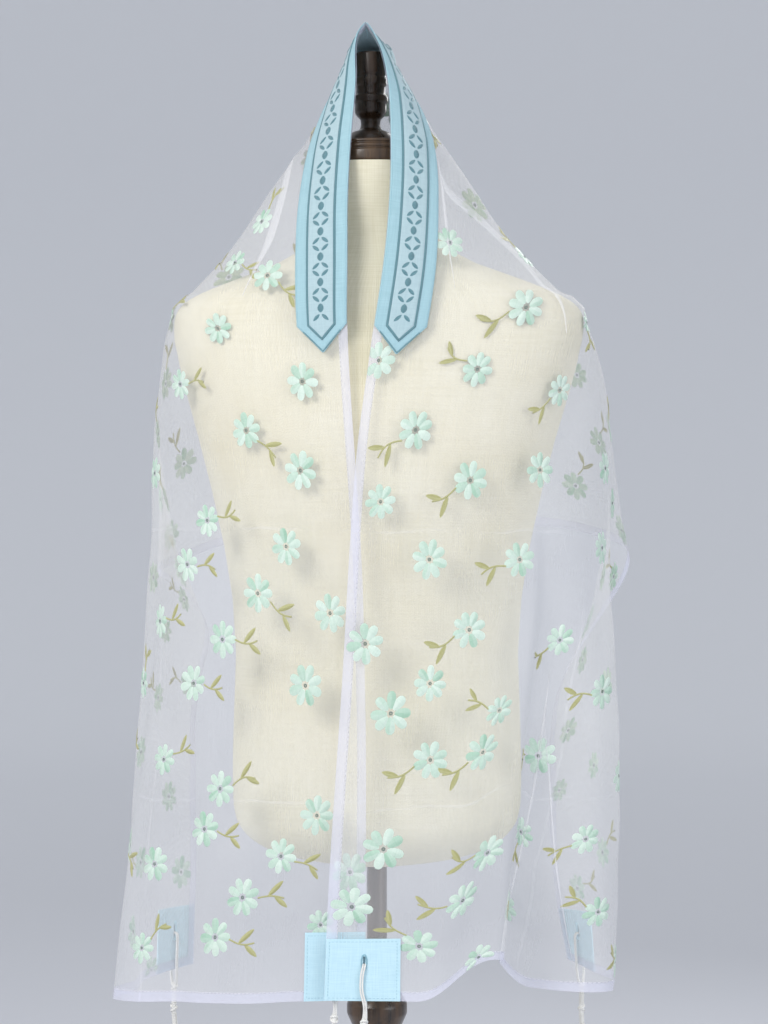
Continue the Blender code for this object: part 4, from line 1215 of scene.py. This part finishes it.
def tassel_parts(seed):
    """One tassel, in (right, out, up) from its buttonhole."""
    turn = np.random.default_rng(seed)
    made = []
    for shift in (-0.95, 1.0):
        made += tube(path_through(loop_path(shift), 60), 0.85, 8)
    top = -HOLE_UP - 10
    for knot in range(KNOTS):
        up, sway = top - knot * KNOT_PITCH, 0.9 * math.sin(2.1 * knot)
        for tilt in (0.0, 1.2):
            turns = np.linspace(0, 2 * math.pi, 17) + tilt
            ring = np.stack((sway + 2.6 * np.cos(turns), 0.4 + 2.6 * np.sin(turns),
                             up - 2.2 - 2.0 * tilt + 1.5 * np.sin(turns + 3 * tilt)), axis=1)
            made += tube(ring, 1.15, 7)
        made += tube([(sway, 0.4, up + 0.5), (sway, 0.4, up - 8.0)], 2.3, 8)
        if knot < KNOTS - 1:
            count = WINDINGS[knot]
            turns = np.linspace(0, 2 * math.pi * count, count * 12 + 1)
            span = KNOT_PITCH - 8.5
            after = 0.9 * math.sin(2.1 * (knot + 1))
            share = turns / turns[-1]
            coil = np.stack((sway + (after - sway) * share + 1.9 * np.cos(turns),
                             0.4 + 1.9 * np.sin(turns), up - 8.0 - span * share), axis=1)
            made += tube(coil, 0.8, 6)
            made += tube([(sway, 0.4, up - 7), (after, 0.4, up - KNOT_PITCH)], 1.5, 6)
    foot = top - (KNOTS - 1) * KNOT_PITCH - 8.5
    for strand in range(STRANDS):
        round_it = 2 * math.pi * (strand + 0.5) / STRANDS
        share = np.linspace(0, 1, 34)
        radius = 1.7 + 5.2 * share ** 0.8
        lag = turn.uniform(0, 6.28)
        sway = 1.3 * np.sin(5.0 * share + 1.7 * strand) * share + 0.35 * np.sin(40 * share + lag)
        up = foot + 5 - share * (TASSEL_LENGTH + foot + 5 - 6 * math.sin(2.3 * strand + 1))
        path = np.stack((radius * np.cos(round_it) + sway,
                         0.4 + radius * np.sin(round_it) + 0.3 * np.sin(37 * share + lag), up),
                        axis=1)
        made += tube(path, np.interp(share, (0, 0.93, 1), (0.85, 0.8, 0.95)), 7)
    return made


def hang(parts, centre, direction):
    """Puts a tassel in its buttonhole. Its loop leans with the patch."""
    turn = math.atan2(direction[0], -direction[1])
    lean = direction[2] / math.hypot(direction[0], direction[1])
    hung = []
    for points, faces, layout, tone_and_sheen in parts:
        below = np.clip(-points[:, 2], 0.0, HOLE_UP + 12)
        right, out = points[:, 0], points[:, 1] + lean * below
        x = centre[0] + right * math.cos(turn) + out * math.sin(turn)
        y = centre[1] + right * math.sin(turn) - out * math.cos(turn)
        hung.append((np.stack((x, y, centre[2] + points[:, 2]), axis=1), faces, layout, tone_and_sheen))
    return hung


CORNERS = ("left_front", "left_rear", "right_front", "right_rear")
for number, (name, hole) in enumerate(zip(CORNERS, HOLES)):
    around = [(hole[0] + du, hole[1] + dv) for du in (-25, 0, 25) for dv in (-25, 0, 25)]
    direction = np.mean([read(facing, u, v) for u, v in around], axis=0)
    direction /= np.linalg.norm(direction)
    centre = on_cloth(*hole)
    build("tassel_cord_" + name, hang(tassel_parts(number), centre, direction), cord_white,
          ["tassel_" + name])
print("tassels:", counts("tassel"))

# %% [markdown]
# ## Embroidered flowers
# Each flower has eight satin-stitched petals round a small dark ring. Many have a thin stem with
# a leaf on each side. The table gives a flower's place in the flat cloth, the direction of its
# stem in degrees, or none, and its width. More are scattered over the rest of the cloth, at least
# 70 mm from each other and clear of the neckband and the patches.

# %% Flower places
FLOWER_GAP, FLOWER_TRIES, STEM_SHARE = 70.0, 6000, 0.66
FLOWERS = (
    (-244, 84, -127, 30), (-218, 127, -118, 25), (-178, 100, -30, 25), (-353, 53, None, 31),
    (334, 10, -152, 30), (278, 153, -74, 34), (136, 140, None, 34), (276, 244, 6, 26),
    (-477, 179, -74, 27), (-518, 210, -97, 28), (-543, 120, -117, 31), (-501, 84, None, 30),
    (-584, 165, -90, 30), (-623, 207, -94, 29), (-626, 308, -31, 25), (-560, 38, None, 32),
    (585, 20, None, 32), (-624, 68, None, 34), (646, 48, None, 34), (620, 84, None, 28),
    (650, 153, -114, 25), (684, 137, -68, 30), (-742, 54, None, 33), (-718, 165, -78, 30),
    (-756, 181, -96, 30), (-780, 92, -109, 30), (-818, 132, -92, 32), (-855, 162, -95, 32),
    (-867, 252, -52, 25), (-908, 422, 46, 25), (765, 47, None, 34), (819, 21, -143, 34),
    (-795, 17, None, 33), (791, 147, -115, 30), (824, 120, -100, 30), (859, 80, -135, 30),
    (907, 140, None, 25), (767, 227, -5, 25), (766, 290, -64, 25), (704, 485, None, 25),
    (561, 438, None, 25), (500, 382, None, 25), (412, 477, -77, 25), (76, 48, 23, 25),
    (-844, 48, None, 25), (-395, 123, -129, 30), (396, 59, -53, 32), (440, 122, -65, 32),
    (-433, 63, None, 32), (512, 173, -72, 30), (511, 80, None, 32), (573, 121, -70, 30),
    (429, 201, None, 29), (583, 231, -54, 25), (687, 87, -70, 30), (355, 215, -54, 27),
)


def free_place(u, v, others, gap):
    covered = abs(u) < BAND_SHOULDER + 34 and v < BAND_WIDTH + 12
    corner = PATCH + 14
    covered = covered or (abs(u) > HALF - corner and not corner < v < CLOTH_DEPTH - corner)
    return not covered and all(math.hypot(u - a[0], v - a[1]) > gap for a in others)


flowers = list(FLOWERS)
for _ in range(FLOWER_TRIES):
    u, v = rng.uniform(-HALF + 20, HALF - 20), rng.uniform(20, CLOTH_DEPTH - 20)
    if free_place(u, v, flowers, FLOWER_GAP):
        lean = rng.uniform(-125, -55)
        stem = lean if rng.random() < STEM_SHARE else None
        flowers.append((u, v, stem, rng.uniform(26, 31)))
print("flowers:", len(flowers))

# %% [markdown]
# A flower's petals alternate between lit and shaded, and a petal is split down its length, so that
# one half looks lit: both are painted sheen, in one mint thread. Every petal shows on both faces
# of the sheer cloth.

# %% Embroidery
# the drape narrows the flowers a little, so they are drawn larger. Sizes are shares of a width
GROWTH, RING, STEM_WIDTH = 1.1, 0.034, 1.6


def out_of_sight(u, v):
    """True off the cloth, and where the neckband or a patch lies over it."""
    if not (-HALF + 2 < u < HALF - 2 and 1.5 < v < CLOTH_DEPTH - 1.5):
        return True
    if abs(u) < BAND_SHOULDER + 20 and v < BAND_WIDTH - 3:
        return True
    return abs(u) > HALF - PATCH + 2 and not PATCH - 2 < v < CLOTH_DEPTH - PATCH + 2


def flower_parts(u, v, stem, width):
    """A flower's petals, its ring, and its stem and leaves."""
    width = width * GROWTH
    spin = rng.uniform(0, math.pi / 4)
    petals, rings, greens = [], [], []
    for petal in range(8):
        turn = spin + petal * math.pi / 4 + rng.uniform(-0.06, 0.06)
        reach = width * rng.uniform(0.295, 0.315)
        spot = (u + reach * math.cos(turn), v + reach * math.sin(turn))
        if out_of_sight(*spot):
            continue
        length, wide = width * rng.uniform(0.40, 0.44), width * rng.uniform(0.225, 0.25)
        # painted sheen: odd petals look lit, and the second half of each is shaded a little more
        light = rng.uniform(0.75, 1.0) if petal % 2 else rng.uniform(0.3, 0.95)
        tones_and_sheens = (light, max(light - rng.uniform(0.0, 0.4), 0.0))
        petals += leaf_shape(spot, turn, length, wide, 0.0, 0.75, tones_and_sheens, 0.45, -0.12, 0.22)
    if not out_of_sight(u, v):
        turns = np.linspace(0, 2 * math.pi, 12, endpoint=False)
        ring = np.stack((u + RING * width * np.cos(turns), v + RING * width * np.sin(turns)),
                        axis=1)
        rings += [ribbon(ring, width * RING, 0.0, height, True, 0.3) for height in (0.6, -0.4)]
    if stem is not None:
        turn = math.radians(stem)
        ahead = np.array((math.cos(turn), math.sin(turn)))
        beside = np.array((-ahead[1], ahead[0]))
        curl = rng.choice((-1.0, 1.0)) * rng.uniform(0.06, 0.16) * width
        share = np.linspace(0, 1, 9)[:, None]
        start = np.array((u, v)) + ahead * width * 0.47
        path = start + ahead * share * width * 0.8 + beside * np.sin(share * 2.9) * curl
        if not any(out_of_sight(*spot) for spot in path):
            greens += [ribbon(path, STEM_WIDTH, 0.0, height, False, 0.6) for height in (0.6, -0.4)]
            for side, at, size, lean in ((1, 3, 0.62, 0.75), (-1, 5, 0.5, 0.6)):
                angle = turn + side * lean
                way = np.array((math.cos(angle), math.sin(angle)))
                spot = path[at] + way * width * size * 0.5
                if not out_of_sight(*spot):
                    greens.extend(leaf_shape(spot, angle, width * size, width * 0.15, 0.0, 0.6,
                                             (0.75, 0.35), 0.4))
    return petals, rings, greens


petals, rings, greens = [], [], []
for flower in flowers:
    for parts, more in zip((petals, rings, greens), flower_parts(*flower)):
        parts += more
build("flower_petals", petals, petal_thread)
build("flower_centres", rings, ring_thread)
build("flower_stems_and_leaves", greens, leaf_thread)
print("embroidery:", counts("flower"))

# %% [markdown]
# ## The dress form
# A smooth limbless torso in linen, with shallow seams down its middle and sides, on turned walnut.
# Each ring is a little squarer than an oval, as a padded form is.

# %% Torso
SEAMS, SEAM_DEPTH, SEAM_WIDTH = (0.0, 0.5, 1.0, 1.5, 2.0), 0.006, 0.014


def torso_parts():
    drops = [ring.drop for ring in TORSO]
    sizes = np.array([ring[1:] for ring in TORSO], float)
    at = np.concatenate((np.linspace(drops[0], 180, 8), np.arange(184, 300, 3.0),
                         np.arange(304, 717, 8.0), np.linspace(720, drops[-1], 22)))
    fine = np.stack([np.interp(at, drops, sizes[:, column]) for column in range(4)], axis=1)
    soft = fine.copy()
    for _ in range(6):
        soft[1:-1] = (soft[:-2] + 2 * soft[1:-1] + soft[2:]) / 4
    soft[:, :2] = np.minimum(soft[:, :2], fine[:, :2])
    sides = 112
    turns = np.arange(sides + 1) * 2 * math.pi / sides
    power = 2 / SQUARENESS
    across = np.sign(np.cos(turns)) * np.abs(np.cos(turns)) ** power
    through = np.sign(np.sin(turns)) * np.abs(np.sin(turns)) ** power
    groove = sum(np.exp(-((turns - seam * math.pi) / SEAM_WIDTH) ** 2) for seam in SEAMS)
    shape = 1 - SEAM_DEPTH * groove
    x = soft[:, 2:3] + soft[:, 0:1] * across * shape
    y = soft[:, 3:4] + soft[:, 1:2] * through * shape
    z = APEX_HEIGHT - at[:, None] + 0 * x
    layout = np.stack((turns * 0.13 * np.ones((len(at), 1)), z * MM), axis=-1)
    body = part(np.stack((x, y, z), axis=-1), strip_faces(len(at), sides + 1), layout)
    made = [body]
    for end in (0, len(at) - 1):
        ring = np.arange(end * (sides + 1), (end + 1) * (sides + 1) - 1)
        ring = ring[::-1] if end else ring
        made.append(part(body[0][ring], fan(sides), body[0][ring][:, :2] * MM))
    return made


build("torso_linen", torso_parts(), cream_linen, ["torso"])
print("torso:", pieces["torso_linen"])

# %% [markdown]
# Turned wood: each profile is spun round its axis, as on a lathe. Its corners are eased twice, as
# the tool and sandpaper leave them.

# %% Turned wood
def eased(profile):
    """A profile closed to the axis, with its corners cut twice."""
    line = [(0.0, profile[0][1])] + list(profile) + [(0.0, profile[-1][1])]
    line = np.array(line, float)
    for _ in range(2):
        first, last = line[:-1], line[1:]
        length = np.linalg.norm(last - first, axis=1, keepdims=True)
        share = np.minimum(0.25, 0.9 / np.maximum(length, 0.01))
        cuts = np.stack((first + (last - first) * share, last - (last - first) * share), axis=1)
        line = np.vstack((line[:1], cuts.reshape(-1, 2)[1:-1], line[-1:]))
    return line


def turned_parts(profile, foot, right, sides):
    line = eased(profile)
    turns = np.arange(sides + 1) * 2 * math.pi / sides
    x = right + line[:, 0:1] * np.cos(turns)
    y = line[:, 0:1] * np.sin(turns)
    z = foot + line[:, 1:2] + 0 * x
    layout = np.stack((turns * 0.02 * np.ones((len(line), 1)), z * MM), axis=-1)
    return [part(np.stack((x, y, z), axis=-1), strip_faces(len(line), sides + 1), layout)]


for node, profile, foot, right, sides, wood in (
        ("neck_cap", NECK_CAP, NECK_CAP_FOOT, NECK_SHIFT, 72, brown_walnut),
        ("finial", FINIAL, FINIAL_FOOT, FINIAL_SHIFT, 48, dark_walnut),
        ("pole", POLE, 0.0, 0.0, 48, dark_walnut),
        ("base", BASE, 0.0, 0.0, 96, base_walnut)):
    build(node + "_turned", turned_parts(profile, foot, right, sides), wood, [node])
print("turned:", counts("turned"))

# %% [markdown]
# ## Floor
# A pale floor, wide and flat, that curves up far away on every side, so that no horizon shows.

# %% Floor
FLAT_TO, CURVE, WALL_TOP = 8.0, 3.0, 5.0
PALER_FROM, PALER_TO = 3.0, 9.0


def studio_floor():
    line = [(0.02, 0.0), (3.0, 0.0), (FLAT_TO, 0.0)]
    line += [(FLAT_TO + CURVE * math.sin(t), CURVE - CURVE * math.cos(t))
             for t in np.linspace(0.1, 1.57, 14)]
    line += [(FLAT_TO + CURVE, WALL_TOP)]
    turns = np.arange(73) * 2 * math.pi / 72
    points = [(r * math.cos(t), r * math.sin(t), z) for r, z in line for t in turns]
    mesh = bpy.data.meshes.new("floor")
    mesh.from_pydata(points, [], strip_faces(len(line), 73).tolist())
    mesh.polygons.foreach_set("use_smooth", [True] * len(mesh.polygons))
    # painted a little paler further out, where less of the light falls
    material, tree, shader, place = new_material("pale floor", solid=True)
    far = add(tree, "VectorMath", (place,), "Value", operation="LENGTH")
    paler = add(tree, "MapRange", (far, PALER_FROM, PALER_TO))
    paint = add(tree, "Mix", {0: paler, 6: linear("CFD1D7"), 7: linear("E6E8EC")}, **COLOUR)
    connect(tree, shader, {"Base Color": paint, "Roughness": 0.95})
    mesh.materials.append(material)
    floor = bpy.data.objects.new("floor", mesh)
    scene.collection.objects.link(floor)


studio_floor()
print("pieces:", len(pieces), "triangles:", sum(pieces.values()), "largest:", max(pieces.values()))
